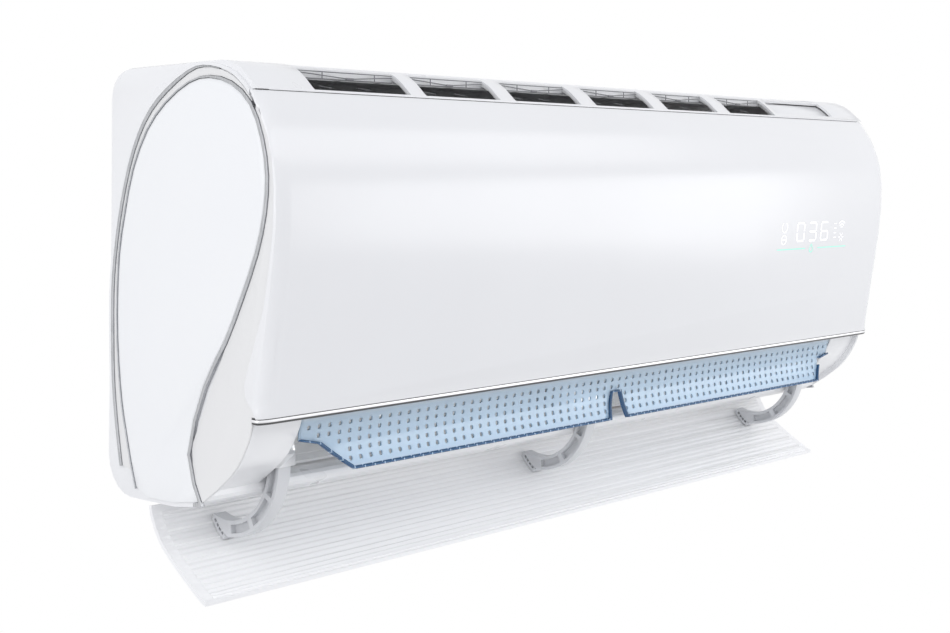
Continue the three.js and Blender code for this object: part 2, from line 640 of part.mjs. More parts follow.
// ---------------------------------------------------------------- evaporator
const coils = [
  { name: 'evaporator_front', foot: point(-175.5, coilFoot), head: point(-175.5, 48) },
  { name: 'evaporator_top', foot: point(-170, 60), head: point(-125, 128) },
  { name: 'evaporator_rear', foot: point(-100, 126), head: point(-53, 68) },
];
const rowOffset = 6.2;
const lanes = (coil, row) => Array.from({ length: tubesPerRow }, (_, i) => {
  const along = coil.head.clone().sub(coil.foot);
  const across = point(-along.y, along.x).normalize();
  const share = (i + 0.5) / tubesPerRow;
  return coil.foot.clone().addScaledVector(along, share).addScaledVector(across, row * rowOffset);
});
const lanePoints = [
  ...lanes(coils[2], 1).reverse(), ...lanes(coils[1], 1).reverse(), ...lanes(coils[0], 1).reverse(),
  ...lanes(coils[0], -1), ...lanes(coils[1], -1), ...lanes(coils[2], -1),
];

function finBlock(coil) {
  const along = coil.head.clone().sub(coil.foot);
  const across = point(-along.y, along.x).normalize().multiplyScalar(coilDepth / 2);
  const outline = [
    coil.foot.clone().add(across), coil.foot.clone().sub(across),
    coil.head.clone().sub(across), coil.head.clone().add(across),
  ];
  const holes = [...lanes(coil, 1), ...lanes(coil, -1)].map((lane) => {
    return arc(lane, tubeRadius + 0.95, 0, 300, 5);
  });
  return prism(outline, coilLeft, coilRight, holes);
}

function coilTube() {
  const route = [];
  const left = coilLeft - 4;
  const right = coilRight + 4;
  lanePoints.forEach((lane, i) => {
    const goesLeft = i % 2 === 0;
    const [from, to] = goesLeft ? [right, left] : [left, right];
    route.push(new THREE.Vector3(i === 0 ? right + 8 : from, lane.x, lane.y));
    const isLast = i === lanePoints.length - 1;
    route.push(new THREE.Vector3(isLast ? right + 8 : to, lane.x, lane.y));
    if (isLast) return;
    const next = lanePoints[i + 1];
    const bulge = goesLeft ? -1 : 1;
    for (const t of [0.25, 0.5, 0.75]) {
      const blend = (1 - Math.cos(Math.PI * t)) / 2;
      const reach = Math.min(lane.distanceTo(next) / 2, 9) * Math.sin(Math.PI * t);
      const here = lane.clone().lerp(next, blend);
      route.push(new THREE.Vector3(to + bulge * reach, here.x, here.y));
    }
  });
  return sweep(route, tubeRadius, 6);
}

// ---------------------------------------------------------------- fan
function crossflowFan() {
  const bladeArc = arc(point(0, 0), 11, 200, 300, 1);
  const bladeOutline = strip(bladeArc, 1.1);
  const radius = fanRadius - 7.5;
  let fan = rod(fanAxis, fanRadius - 0.5, fanLeft, fanLeft + 3, 30);
  const spacing = (fanRight - fanLeft - 3) / (fanRings + 1);
  for (let i = 1; i <= fanRings + 1; i++) {
    const x = fanLeft + i * spacing;
    const disc = rod(fanAxis, fanRadius - 0.5, x, x + (i > fanRings ? 3 : 2), 30);
    fan = join(fan, i > fanRings ? disc : cut(disc, rod(fanAxis, fanRadius - 16, x - 1, x + 4, 24)));
  }
  for (let i = 0; i < bladeCount; i++) {
    const turn = (2 * Math.PI * i) / bladeCount;
    const placed = bladeOutline.map((p) => {
      return p.clone().add(point(radius + 2, 9)).rotateAround(point(0, 0), turn).add(fanAxis);
    });
    fan = join(fan, prism(placed, fanLeft + 1, fanRight - 1));
  }
  const stub = rod(fanAxis, 4, fanLeft - 21, fanLeft + 2, 12);
  return join(fan, stub);
}

// ---------------------------------------------------------------- flap with its arms
// The lower face of the open flap, from its back edge to its front edge.
const openOuter = spline([
  [-62, -176], [-65.2, -186.7], [-76.4, -202.9], [-93, -215.7], [-112, -228], [-130.4, -238.6], [-137, -241],
], 16);

function flapOutline() {
  const inner = offsetPath(openOuter, -flapWall);
  return [...openOuter, ...inner.reverse()];
}

function flap() {
  let body = prism(flapOutline(), -flapHalf, flapHalf);
  if (body.volume() < 0) throw new Error('flap outline runs the wrong way');
  // fine ribs along the inner face
  const face = offsetPath(openOuter, -flapWall);
  const curve = new THREE.SplineCurve(face);
  const ribCount = 20;
  const ribbed = [];
  for (let i = 0; i < ribCount; i++) {
    const t = 0.1 + (0.82 * i) / ribCount;
    const width = 0.82 / ribCount;
    const here = curve.getPoint(t);
    const peak = curve.getPoint(t + width * 0.5);
    const side = curve.getTangent(t + width * 0.5);
    ribbed.push(here, peak.addScaledVector(point(side.y, -side.x), 0.7));
  }
  const back = offsetPath(openOuter, -1);
  const backCurve = new THREE.SplineCurve(back);
  const under = steps(12).map((t) => backCurve.getPoint(0.1 + 0.8 * t)).reverse();
  body = join(body, prism([...ribbed, ...under], -flapHalf + 9, flapHalf - 9));
  return body;
}

function flapArm(x) {
  const half = armWidth / 2;
  const outer = arc(pivot, armOuter, 165, 268, 16);
  const inner = arc(pivot, armInner, 165, 288, 16).reverse();
  const arcPart = prism([...outer, point(-84, -200), point(-76, -190), ...inner], x - half, x + half);
  const sole = offsetPath(openOuter, -flapWall - 1).filter((p) => p.y < -188.5 && p.y > -208);
  let arm = join(arcPart, prism(strip(sole, -5), x - half, x + half));
  arm = cut(arm, prism(strip(offsetPath(openOuter, -flapWall - 1), 12), x - half - 1, x + half + 1));
  const pocket = (from, to) => [
    ...arc(pivot, armOuter - 3, from, to, 5), ...arc(pivot, armInner + 3, from, to, 5).reverse(),
  ];
  for (const [from, to] of [[170, 206], [210, 236], [241, 264]]) {
    arm = cut(arm, prism(pocket(from, to), x - half - 1, x - 1.2));
    arm = cut(arm, prism(pocket(from, to), x + 1.2, x + half + 1));
  }
  // row of slots along the foot
  const foot = new THREE.SplineCurve(offsetPath(sole, -2.6));
  for (let i = 0; i < footSlots; i++) {
    const run = steps(1).map((t) => foot.getPointAt(0.1 + (0.82 * (i + 0.14 + 0.68 * t)) / footSlots));
    arm = cut(arm, prism(strip(run, -2.4), x - half - 1, x + half + 1));
  }
  return arm;
}

// ---------------------------------------------------------------- guides of the arms
function armGuide(x) {
  const half = armWidth / 2 + 0.6 + 1.6;
  const floorSide = offsetPath(floorRun, -gap - 0.1).filter((p) => p.y < -100);
  const outline = [...arc(pivot, armOuter + 3.2, 78, 182, 14), ...floorSide.reverse()];
  const outer = arc(pivot, armOuter + 0.7, 74, 186, 14);
  const slot = [...outer, ...arc(pivot, armInner - 0.7, 74, 186, 14).reverse()];
  const width = armWidth / 2 + 0.6;
  return cut(prism(outline, x - half, x + half), prism(slot, x - width, x + width));
}

// ---------------------------------------------------------------- diffuser vane
// Hangs from the cross beam in front of the duct; notches clear the arms of the flap.
const vaneCurve = spline([[-194, -93.5], [-189.2, -104], [-187, -118], [-187.8, -131], [-191, -143]], 10);
const vaneTop = vaneCurve[0].y + 1;
const vaneFoot = vaneCurve.at(-1).y;

function diffuserVane() {
  const end = outletHalf - 1.5;
  const down = (depth) => vaneTop - depth;
  const low = vaneFoot - 1;
  const outline = toPoints([
    [-end, down(0)], [-end, down(23)], [-end + 5, down(26)], [-end + 20, down(28)],
    [-end + 42, down(44)], [-end + 53, low], [-13, low], [-9.5, down(38)], [-6.5, down(26)],
    [6.5, down(26)], [9.5, down(38)], [13, low], [366 - 8, low], [366 - 1, low + 7], [366, down(35)],
    [368, down(27)], [end, down(22)], [end, down(0)],
  ]);
  let body = prism(strip(vaneCurve, vaneWall), -end, end);
  const lipPath = [point(1.5, 0.1), point(-4.5, -0.4)].map((p) => p.add(vaneCurve.at(-1)));
  body = join(body, prism(strip(lipPath, -2.4), -end + 1, end - 1));
  body = body.intersect(slab(outline, -200, -170));
  const axle = (from, to) => rod(vaneHinge, vanePin, from, to, 12);
  const knuckleY = [vaneHinge.x - 1.6, vaneHinge.x + 2];
  const knuckle = (from, to) => box([from, to], knuckleY, [vaneHinge.y - 6, vaneHinge.y + 1.2]);
  return join(
    body, axle(-outletHalf - skin + gap, -end + 8), axle(end - 8, outletHalf + skin - gap),
    knuckle(-end, -end + 8), knuckle(end - 8, end),
  );
}

// ---------------------------------------------------------------- vertical swing blades
// Each group stands in the duct on a rail; its frame leans with the duct.
const ductLean = 47.6;
const ductCentre = point(-128, -84);
const bladeReach = 42;
const bladeWall = 1.8;
const tiePlace = 12;

function inDuct(shape) {
  return shape.rotate([ductLean, 0, 0]).translate([0, ductCentre.x, ductCentre.y]);
}

function swingBlade(x) {
  const low = -bladeReach;
  const outline = toPoints([
    [-26, low + 8], [-22, low], [tiePlace + 2.5, low], [tiePlace + 2.5, low + 2.4], [7, low + 2.4],
    [7, -29], [tiePlace + 2.5, -29], [tiePlace + 2.5, bladeReach - 8], [4, bladeReach - 2],
    [-16, bladeReach - 2], [-26, bladeReach - 14],
  ]);
  const plate = prism(outline, -bladeWall / 2, bladeWall / 2);
  const pin = upright(0, 1.5, low - 4.5, low + 2);
  const tiePin = upright(tiePlace, 1.2, low + 1.5, -28);
  return inDuct(join(plate, pin, tiePin).translate([x, 0, 0]));
}

function upright(y, radius, low, high) {
  const geometry = new THREE.CylinderGeometry(radius, radius, high - low, 8);
  return solid(geometry.rotateX(Math.PI / 2).translate(0, y, (low + high) / 2));
}

function tieBar(places) {
  const ends = [places[0] - 5, places.at(-1) + 5];
  let bar = box(ends, [tiePlace - 3.1, tiePlace + 3.1], [-36.5, -33.5]);
  for (const x of places) bar = cut(bar, upright(tiePlace, 1.6, -40, -30).translate([x, 0, 0]));
  return inDuct(bar);
}

function swingRail(places) {
  const ends = [places[0] - 12, places.at(-1) + 12];
  let rail = box(ends, [-5, 5], [-bladeReach - 8.4, -bladeReach - 0.8]);
  for (const x of places) {
    rail = cut(rail, upright(0, 1.9, -bladeReach - 5, -bladeReach + 2).translate([x, 0, 0]));
  }
  return inDuct(rail);
}

// ---------------------------------------------------------------- small inner pieces
function wallPlate() {
  const w = plateWidth / 2;
  const high = plateTop - 12;
  const low = plateBottom + 12;
  const outline = [
    ...arc(point(w - 12, high), 12, 0, 90, 3), ...arc(point(-w + 12, high), 12, 90, 180, 3),
    ...arc(point(-w + 12, low), 12, 180, 270, 3), ...arc(point(w - 12, low), 12, 270, 360, 3),
  ];
  const holes = [];
  for (const x of [-200, -120, 120, 200]) {
    for (const z of [-30, 45]) {
      holes.push(toPoints([[x - 22, z - 12], [x + 22, z - 12], [x + 22, z + 12], [x - 22, z + 12]]));
    }
  }
  for (const x of [-240, -60, 60, 240]) {
    for (const z of [-60, 105]) holes.push(arc(point(x, z), 4, 0, 315, 7));
  }
  let plate = slab(outline, -plateWall, 0, holes);
  for (const x of [-160, 160]) {
    const shelf = box([x - 10, x + 10], [-6.4, -0.5], [99.4, 101.4]);
    const hook = box([x - 10, x + 10], [-6.4, -4.6], [99.4, 110]);
    plate = join(plate, shelf, hook);
  }
  return plate;
}

function intakeGrille() {
  const xs = [windows[0][0] + gap, blankPanel[1] - gap];
  const ys = [grilleFront + gap, grilleBack - gap];
  let grille = box(xs, ys, [bodyTop - skin, bodyTop]);
  const columns = 16;
  const pitch = (xs[1] - xs[0] - 6) / columns;
  const rows = 3;
  const depth = (ys[1] - ys[0] - 6) / rows;
  for (let i = 0; i < columns; i++) {
    for (let j = 0; j < rows; j++) {
      const x = xs[0] + 3 + i * pitch;
      const y = ys[0] + 3 + j * depth;
      grille = cut(grille, box([x + 2, x + pitch - 2], [y + 2, y + depth - 2], [150, 180]));
    }
  }
  return grille;
}

const filterPath = spline([
  [-196.6, -31.7], [-200.5, 30], [-194, 80], [-170, 124], [-132, 149], [-76, 158],
], 20);
function filter(low, high) {
  let sheet = prism(strip(filterPath, -3), low, high);
  const cells = 5;
  const columns = 4;
  const pitch = (high - low - 5) / columns;
  const curve = new THREE.SplineCurve(offsetPath(filterPath, 0.5));
  for (let j = 0; j < cells; j++) {
    const part = steps(2).map((t) => curve.getPoint(0.015 + (j + 0.04 + t * 0.92) * (0.97 / cells)));
    for (let i = 0; i < columns; i++) {
      const x = low + 2.5 + i * pitch;
      sheet = cut(sheet, prism(strip(part, -2.7), x + 2.2, x + pitch - 2.2));
    }
  }
  return sheet;
}

const motorLeft = 324;
function fanMotor() {
  const can = rod(fanAxis, motorRadius, motorLeft + 6, motorLeft + 50, 28);
  const nose = rod(fanAxis, motorRadius - 8, motorLeft + 1, motorLeft + 56, 24);
  return join(can, nose);
}

function motorBracket() {
  const low = motorLeft + 20;
  const ring = rod(fanAxis, motorRadius + 3.3, low, low + 14, 28);
  const foot = box([low, low + 14], [fanAxis.x + 20, backPlane - skin - 0.4], [fanAxis.y - 8, fanAxis.y + 8]);
  const flange = box([low - 10, low + 24], [backPlane - skin - 3, backPlane - skin - 0.4], [-30, 20]);
  return cut(join(ring, foot, flange), rod(fanAxis, motorRadius + gap, low - 1, low + 15, 28));
}

const boxX = [322, 414];
const boxY = [-197, -150];
const boxZ = [-28.7, 118];
const buttonPlace = point(398, -12);
function controlBox() {
  const shell = box(boxX, boxY, boxZ);
  const room = box([boxX[0] + 2, boxX[1] - 2], [boxY[0] + 2, boxY[1] - 2], [boxZ[0] + 2, boxZ[1] + 5]);
  return cut(shell, room, facing(buttonPlace, 3.9, boxY[0] - 5, boxY[0] + 5, 12));
}

function facing(place, radius, yLow, yHigh, sides = 12) {
  const geometry = new THREE.CylinderGeometry(radius, radius, yHigh - yLow, sides);
  return solid(geometry.translate(place.x, (yLow + yHigh) / 2, place.y));
}

function manualButton() {
  const cap = facing(buttonPlace, 3.5, boxY[0] - 2.2, boxY[0] + 4);
  return join(cap, facing(buttonPlace, 5.5, boxY[0] + 3.5, boxY[0] + 5));
}

const nutRight = 132;
function pipe(radius, x, level) {
  const down = new THREE.Vector3(x, -30, 62);
  const bend = steps(4).map((t) => {
    const angle = (t * Math.PI) / 2;
    return new THREE.Vector3(x - 18 + 18 * Math.cos(angle), -30, level + 18 - 18 * Math.sin(angle));
  });
  return sweep([down, ...bend, new THREE.Vector3(nutRight - 5, -30, level)], radius, 10);
}

function flareNut(radius, level) {
  const place = point(-30, level);
  const hex = rod(place, radius + 5, nutRight - 16, nutRight, 6);
  const bore = rod(place, radius + 0.5, nutRight - 6, nutRight + 1, 16);
  return cut(hex, bore, rod(place, radius - 1, nutRight - 20, nutRight - 5, 10));
}

const pipes = [
  { name: 'liquid', radius: 4, x: 336, level: -112 },
  { name: 'gas', radius: 6.5, x: 374, level: -136 },
];
function pipeClip() {
  const body = box([pipes[0].x - 8, pipes[1].x + 10], [-39, backPlane - skin - gap], [34, 46]);
  return pipes.reduce((clip, { radius, x }) => {
    const geometry = new THREE.CylinderGeometry(radius + 0.5, radius + 0.5, 40, 16);
    return cut(clip, solid(geometry.rotateX(Math.PI / 2).translate(x, -30, 40)));
  }, body);
}

function displayBoard() {
  const board = box([215, 370], [-221.3, -219.7], [0, 45]);
  return join(board, box([225, 360], [-220, -214], [8, 38]));
}

// The strip under the panel follows the panel's rounded corners.
function panelTrim() {
  const front = frontY(panelBottom) + 0.4;
  const back = front + 10;
  const deep = cornerDepth(panelBottom);
  const ring = (height, inset) => {
    const corner = (side) => steps(4).map((t) => {
      const angle = (t * Math.PI) / 2;
      const x = halfWidth - panelCorner + (panelCorner - 0.4 - inset) * Math.cos(angle);
      const y = front + deep - (deep - inset) * Math.sin(angle);
      return new THREE.Vector3(side * x, y, height);
    });
    const end = halfWidth - 0.4 - inset;
    return [
      new THREE.Vector3(-end, back, height), ...corner(-1), ...corner(1).reverse(),
      new THREE.Vector3(end, back, height),
    ];
  };
  const top = panelBottom - gap;
  const low = panelBottom - trimHeight;
  return loft([ring(low, 1.2), ring(low + 1.2, 0), ring(top, 0)]);
}

// ---------------------------------------------------------------- assembly
const rings = panelLevels.map(panelRing);
add('front_panel', join(loft(rings), hingeLug(-1), hingeLug(1)), 'gloss');
add('front_frame', frontFrame(), 'gloss');
for (const [side, name] of [[-1, 'left'], [1, 'right']]) {
  add(`end_cap_${name}`, endCap(side), 'satin');
  add(`side_trim_${name}`, sideTrim(side), 'silver');
  add(`rear_trim_${name}`, rearTrim(side), 'silver');
  const [wing, band] = surround(side);
  add(`side_wing_${name}`, wing, 'wing');
  add(`side_band_${name}`, band, 'wing');
}
add('rear_chassis', rearChassis(), 'satin');
add('drain_pan', drainPan(), 'satin');
coils.forEach((coil) => add(coil.name, finBlock(coil), 'aluminium'));
add('coil_tube', coilTube(), 'copper');
add('crossflow_fan', crossflowFan(), 'darkPlastic');
add('flap', flap(), 'gloss');
armPlaces.forEach((x, i) => {
  const place = ['left', 'centre', 'right'][i];
  add(`flap_arm_${place}`, flapArm(x), 'satin');
  add(`arm_guide_${place}`, armGuide(x), 'satin');
});
add('diffuser_vane', diffuserVane(), 'vane');
add('panel_trim', panelTrim(), 'silver');
add('display_board', displayBoard(), 'board');
add('wall_plate', wallPlate(), 'steel');
add('intake_grille', intakeGrille(), 'gloss');
add('filter_left', filter(-374, -37), 'mesh');
add('filter_right', filter(-33, 304), 'mesh');
for (const [name, places] of [['left', swingPlaces.slice(0, 5)], ['right', swingPlaces.slice(5)]]) {
  places.forEach((x, i) => add(`swing_blade_${name}_${i + 1}`, swingBlade(x), 'satin'));
  add(`tie_bar_${name}`, tieBar(places), 'darkPlastic');
  add(`swing_rail_${name}`, swingRail(places), 'darkPlastic');
}
add('fan_shaft', rod(fanAxis, 4, fanRight + gap, motorLeft + 1 - gap, 12), 'steel');
const bearing = rod(fanAxis, 8.6, -outletHalf - 5, -outletHalf + 3, 16);
add('fan_bearing', cut(bearing, rod(fanAxis, 4.4, -outletHalf - 9, -outletHalf + 9, 12)), 'darkPlastic');
add('fan_motor', fanMotor(), 'steel');
add('motor_bracket', motorBracket(), 'satin');
add('control_box', controlBox(), 'darkPlastic');
add('control_board', box([boxX[0] + 6, boxX[1] - 6], [boxY[1] - 3.9, boxY[1] - 2.3], [-22, 100]), 'board');
add('terminal_block', box([340, 390], [-170, boxY[1] - 4.2], [70, 92]), 'satin');
add('manual_button', manualButton(), 'satin');
for (const { name, radius, x, level } of pipes) {
  add(`${name}_pipe`, pipe(radius, x, level), 'copper');
  add(`${name}_flare_nut`, flareNut(radius, level), 'brass');
}
add('pipe_clip', pipeClip(), 'satin');

export default unit;
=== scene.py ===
# %% [markdown]
# A wall-hung indoor unit of a mini split air conditioner, with its lower air flap open.
# The measured solids come in as a frame of named nodes. This notebook gives every node
# its finish, remodels the surfaces that need more than flat facets, and lights the unit
# like a catalogue photograph on white.

import json
import math

import bmesh
import bpy
from mathutils import Euler, Matrix, Vector
from mathutils.bvhtree import BVHTree


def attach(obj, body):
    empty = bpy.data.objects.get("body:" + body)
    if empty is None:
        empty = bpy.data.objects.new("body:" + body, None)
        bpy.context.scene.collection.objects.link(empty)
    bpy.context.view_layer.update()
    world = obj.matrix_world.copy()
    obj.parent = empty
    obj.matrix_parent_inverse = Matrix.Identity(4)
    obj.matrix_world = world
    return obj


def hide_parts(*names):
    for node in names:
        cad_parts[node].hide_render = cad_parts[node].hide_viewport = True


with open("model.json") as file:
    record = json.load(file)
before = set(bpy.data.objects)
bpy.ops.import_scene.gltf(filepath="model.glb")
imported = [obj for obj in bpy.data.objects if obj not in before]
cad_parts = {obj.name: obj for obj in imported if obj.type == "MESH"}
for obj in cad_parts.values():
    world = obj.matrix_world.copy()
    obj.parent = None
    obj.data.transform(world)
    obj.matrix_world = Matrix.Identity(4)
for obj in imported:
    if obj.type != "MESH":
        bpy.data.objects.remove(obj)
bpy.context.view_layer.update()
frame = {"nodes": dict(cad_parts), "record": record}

# %% [markdown]
# Lengths are written in millimetres below, as on a drawing, and turned into the metres
# that Blender works in at one place. A curved piece is drawn by a few points in the side
# view, and one helper passes a smooth path through them.

# %% Units and curves
MM = 0.001
PANEL_BOTTOM = -91.0
TRIM_TOP, TRIM_HEIGHT = PANEL_BOTTOM - 0.3, 4.3
FLOOR_LEVEL = -1.3  # metres


def smooth_path(points, steps):
    """Points along a smooth path through the listed (y, z) points."""
    last = len(points) - 1
    path = []
    for s in range(steps + 1):
        p = last * s / steps
        i = min(int(p), last - 1)
        w = p - i
        a, b = Vector(points[max(i - 1, 0)]), Vector(points[i])
        c, d = Vector(points[i + 1]), Vector(points[min(i + 2, last)])
        m, n = (c - a) * 0.5, (d - b) * 0.5
        path.append(
            b * (2 * w**3 - 3 * w**2 + 1) + m * (w**3 - 2 * w**2 + w)
            + c * (3 * w**2 - 2 * w**3) + n * (w**3 - w**2)
        )
    return path


print("panel foot at", PANEL_BOTTOM, "mm, floor at", FLOOR_LEVEL, "m")

# %% [markdown]
# A finish is a Principled shader with its texture built from noise and bump nodes. Real
# moulded plastic is never optically flat: its gloss wanders a little and a faint grain
# breaks up the highlight, so each plastic gets both at its own scale.

# %% Material helper
def new_finish(name, colour, roughness, **sockets):
    material = bpy.data.materials.new(name)
    material.use_nodes = True
    shader = material.node_tree.nodes["Principled BSDF"]
    shader.inputs["Base Color"].default_value = (*colour, 1)
    shader.inputs["Roughness"].default_value = roughness
    for socket, value in sockets.items():
        shader.inputs[socket.replace("_", " ")].default_value = value
    return material, material.node_tree, shader


def object_noise(tree, scale, detail=2.0, stretch=(1, 1, 1)):
    place = tree.nodes.new("ShaderNodeTexCoord")
    spread = tree.nodes.new("ShaderNodeMapping")
    spread.inputs["Scale"].default_value = stretch
    noise = tree.nodes.new("ShaderNodeTexNoise")
    noise.inputs["Scale"].default_value = scale
    noise.inputs["Detail"].default_value = detail
    tree.links.new(place.outputs["Object"], spread.inputs["Vector"])
    tree.links.new(spread.outputs["Vector"], noise.inputs["Vector"])
    return noise.outputs["Fac"]


def spread_over(tree, value, low, high):
    reach = tree.nodes.new("ShaderNodeMapRange")
    reach.inputs["From Min"].default_value = 0.3
    reach.inputs["From Max"].default_value = 0.7
    reach.inputs["To Min"].default_value = low
    reach.inputs["To Max"].default_value = high
    tree.links.new(value, reach.inputs["Value"])
    return reach.outputs["Result"]


def grain(tree, shader, height, distance, strength):
    bump = tree.nodes.new("ShaderNodeBump")
    bump.inputs["Strength"].default_value = strength
    bump.inputs["Distance"].default_value = distance
    tree.links.new(height, bump.inputs["Height"])
    tree.links.new(bump.outputs["Normal"], shader.inputs["Normal"])


def two_tone(tree, shader, share, dark, light):
    mix = tree.nodes.new("ShaderNodeMix")
    mix.data_type = "RGBA"
    mix.inputs["A"].default_value = (*dark, 1)
    mix.inputs["B"].default_value = (*light, 1)
    tree.links.new(share, mix.inputs["Factor"])
    tree.links.new(mix.outputs["Result"], shader.inputs["Base Color"])


# %% [markdown]
# The white mouldings differ mostly in gloss. The bowed panel and the flap are polished,
# the end caps are a little softer, the wings beside the panel are a light grey, and the
# parts inside the outlet are plain satin.

# %% White and grey plastics
def moulded(name, dark, light, roughness, coat=0.0, grain_scale=900.0, grain_depth=0.05):
    material, tree, shader = new_finish(
        name, light, roughness, Coat_Weight=coat, Coat_Roughness=0.22
    )
    clouds = object_noise(tree, 7.0)
    two_tone(tree, shader, spread_over(tree, clouds, 0, 1), dark, light)
    gloss = spread_over(tree, object_noise(tree, 23.0), roughness * 0.97, roughness * 1.03)
    tree.links.new(gloss, shader.inputs["Roughness"])
    grain(tree, shader, object_noise(tree, grain_scale, 3.0), 0.0002, grain_depth)
    return material


polished_white = moulded(
    "polished_white", (0.845, 0.85, 0.865), (0.86, 0.865, 0.88), 0.2, coat=0.5, grain_depth=0.02
)
shell_white = moulded(
    "shell_white", (0.85, 0.855, 0.87), (0.865, 0.87, 0.88), 0.28, coat=0.2, grain_depth=0.03
)
cap_white = moulded(
    "cap_white", (0.885, 0.895, 0.91), (0.895, 0.905, 0.915), 0.34, coat=0.15, grain_depth=0.03
)
wing_grey = moulded(
    "wing_grey", (0.8, 0.8, 0.8), (0.815, 0.815, 0.815), 0.36, coat=0.1, grain_depth=0.03
)
satin_white = moulded(
    "satin_white", (0.84, 0.845, 0.855), (0.86, 0.865, 0.875), 0.4, grain_depth=0.06
)
flap_white = moulded(
    "flap_white", (0.893, 0.896, 0.904), (0.9, 0.903, 0.91), 0.4, coat=0.1, grain_depth=0.03
)
arm_grey = moulded("arm_grey", (0.64, 0.65, 0.67), (0.68, 0.69, 0.71), 0.35, grain_depth=0.04)
dark_plastic = moulded(
    "dark_plastic", (0.015, 0.016, 0.018), (0.03, 0.031, 0.034), 0.5, grain_depth=0.2
)
board_green = moulded("board_green", (0.02, 0.12, 0.05), (0.03, 0.17, 0.08), 0.4)
print("nine moulded plastics")

# %% [markdown]
# Metals: a brushed silver line for the trims, drawn copper, machined brass, zinc-plated
# steel, and the fins of the heat exchanger, painted near-black as painted shade for the dark
# inside of the unit, whose hundreds of plates are too fine to model one by one and are
# drawn as a stripe pattern with its own bump.

# %% Metals and fins
def brushed(name, dark, light, roughness, stretch):
    material, tree, shader = new_finish(name, light, roughness, Metallic=1.0)
    lines = object_noise(tree, 60.0, 4.0, stretch)
    two_tone(tree, shader, spread_over(tree, lines, 0, 1), dark, light)
    gloss = spread_over(tree, lines, roughness * 0.7, roughness * 1.3)
    tree.links.new(gloss, shader.inputs["Roughness"])
    grain(tree, shader, lines, 0.0001, 0.15)
    return material


silver_line = brushed("silver_line", (0.42, 0.43, 0.45), (0.56, 0.57, 0.59), 0.34, (20, 20, 1.5))
# The panel trim's tones are painted light: painted shade over its lower part and along its top
# edge, and painted highlight bands between them, parted by a slightly darker line.
strip_silver_painted_light, strip_tree, strip_shader = new_finish(
    "strip_silver_painted_light", (0.8, 0.8, 0.81), 0.3, Metallic=0.6
)
strip_place = strip_tree.nodes.new("ShaderNodeTexCoord")
strip_level = strip_tree.nodes.new("ShaderNodeMapping")
strip_level.vector_type = "POINT"
strip_level.inputs["Location"].default_value = (0, 0, (TRIM_HEIGHT - TRIM_TOP) / TRIM_HEIGHT)
strip_level.inputs["Scale"].default_value = (1, 1, 1 / (TRIM_HEIGHT * MM))
strip_height = strip_tree.nodes.new("ShaderNodeSeparateXYZ")
strip_painted_light = strip_tree.nodes.new("ShaderNodeValToRGB")
painted_light_bands = [  # share of the strip's height, and the tone there
    (0.0, 0.05), (0.4, 0.1), (0.48, 0.86), (0.58, 0.72), (0.64, 0.88), (0.86, 0.88), (0.93, 0.1),
]
while len(strip_painted_light.color_ramp.elements) < len(painted_light_bands):
    strip_painted_light.color_ramp.elements.new(0.5)
for element, (share, tone) in zip(strip_painted_light.color_ramp.elements, painted_light_bands):
    element.position = share
    element.color = (tone, tone, tone * 1.02, 1)
strip_tree.links.new(strip_place.outputs["Object"], strip_level.inputs["Vector"])
strip_tree.links.new(strip_level.outputs["Vector"], strip_height.inputs["Vector"])
strip_tree.links.new(strip_height.outputs["Z"], strip_painted_light.inputs["Fac"])
strip_tree.links.new(strip_painted_light.outputs["Color"], strip_shader.inputs["Base Color"])
grain(strip_tree, strip_shader, object_noise(strip_tree, 60.0, 3.0, (0.6, 30, 30)), 0.0001, 0.1)
copper = brushed("copper", (0.55, 0.25, 0.14), (0.78, 0.4, 0.25), 0.3, (1, 8, 8))
brass = brushed("brass", (0.55, 0.4, 0.16), (0.8, 0.62, 0.3), 0.3, (8, 8, 8))
zinc_steel = brushed("zinc_steel", (0.45, 0.46, 0.48), (0.65, 0.66, 0.68), 0.38, (6, 6, 6))


def stripes(tree, axis, scale):
    place = tree.nodes.new("ShaderNodeTexCoord")
    wave = tree.nodes.new("ShaderNodeTexWave")
    wave.bands_direction = axis
    wave.inputs["Scale"].default_value = scale
    wave.inputs["Distortion"].default_value = 0
    tree.links.new(place.outputs["Object"], wave.inputs["Vector"])
    return wave.outputs["Fac"]


# The fins are near-black as painted shade for the dark inside of the unit.
coil_fins_painted_shade, fin_tree, fin_shader = new_finish("coil_fins_painted_shade", (0.02, 0.02, 0.022), 0.45, Metallic=0.6)
fin_lines = stripes(fin_tree, "X", 170.0)
two_tone(fin_tree, fin_shader, fin_lines, (0.004, 0.004, 0.005), (0.05, 0.052, 0.056))
grain(fin_tree, fin_shader, fin_lines, 0.0006, 0.8)

# The filter net, seen through the intake windows, is painted near-black as painted shade for the
# dark inside of the unit.
filter_net_painted_shade, net_tree, net_shader = new_finish("filter_net_painted_shade", (0.3, 0.31, 0.33), 0.6)
net_lines = stripes(net_tree, "X", 330.0)
two_tone(net_tree, net_shader, net_lines, (0.006, 0.006, 0.008), (0.03, 0.031, 0.034))
grain(net_tree, net_shader, net_lines, 0.0003, 0.6)
print("silver, copper, brass and steel, coil fins and filter net")

# %% [markdown]
# The vane in the outlet is a pale blue see-through moulding. Its thick lower lip is painted
# deep blue, as painted shade for the light gathering in the thick plastic, with a painted
# white glint under every column of holes. The lip's faces are marked in an attribute, and the
# painted glints follow the pitch of the holes.

# %% Tinted vane
HOLE_PITCH, ROW_PITCH, HOLE_ROWS, HOLE_WIDTH = 10.6, 7.2, 5, 3.6
HOLE_MARGIN = 4.0
VANE_FOOT, TINT_TOP = -143.0, -93
WAVE_PERIOD = 0.31416  # scale times period of the wave texture

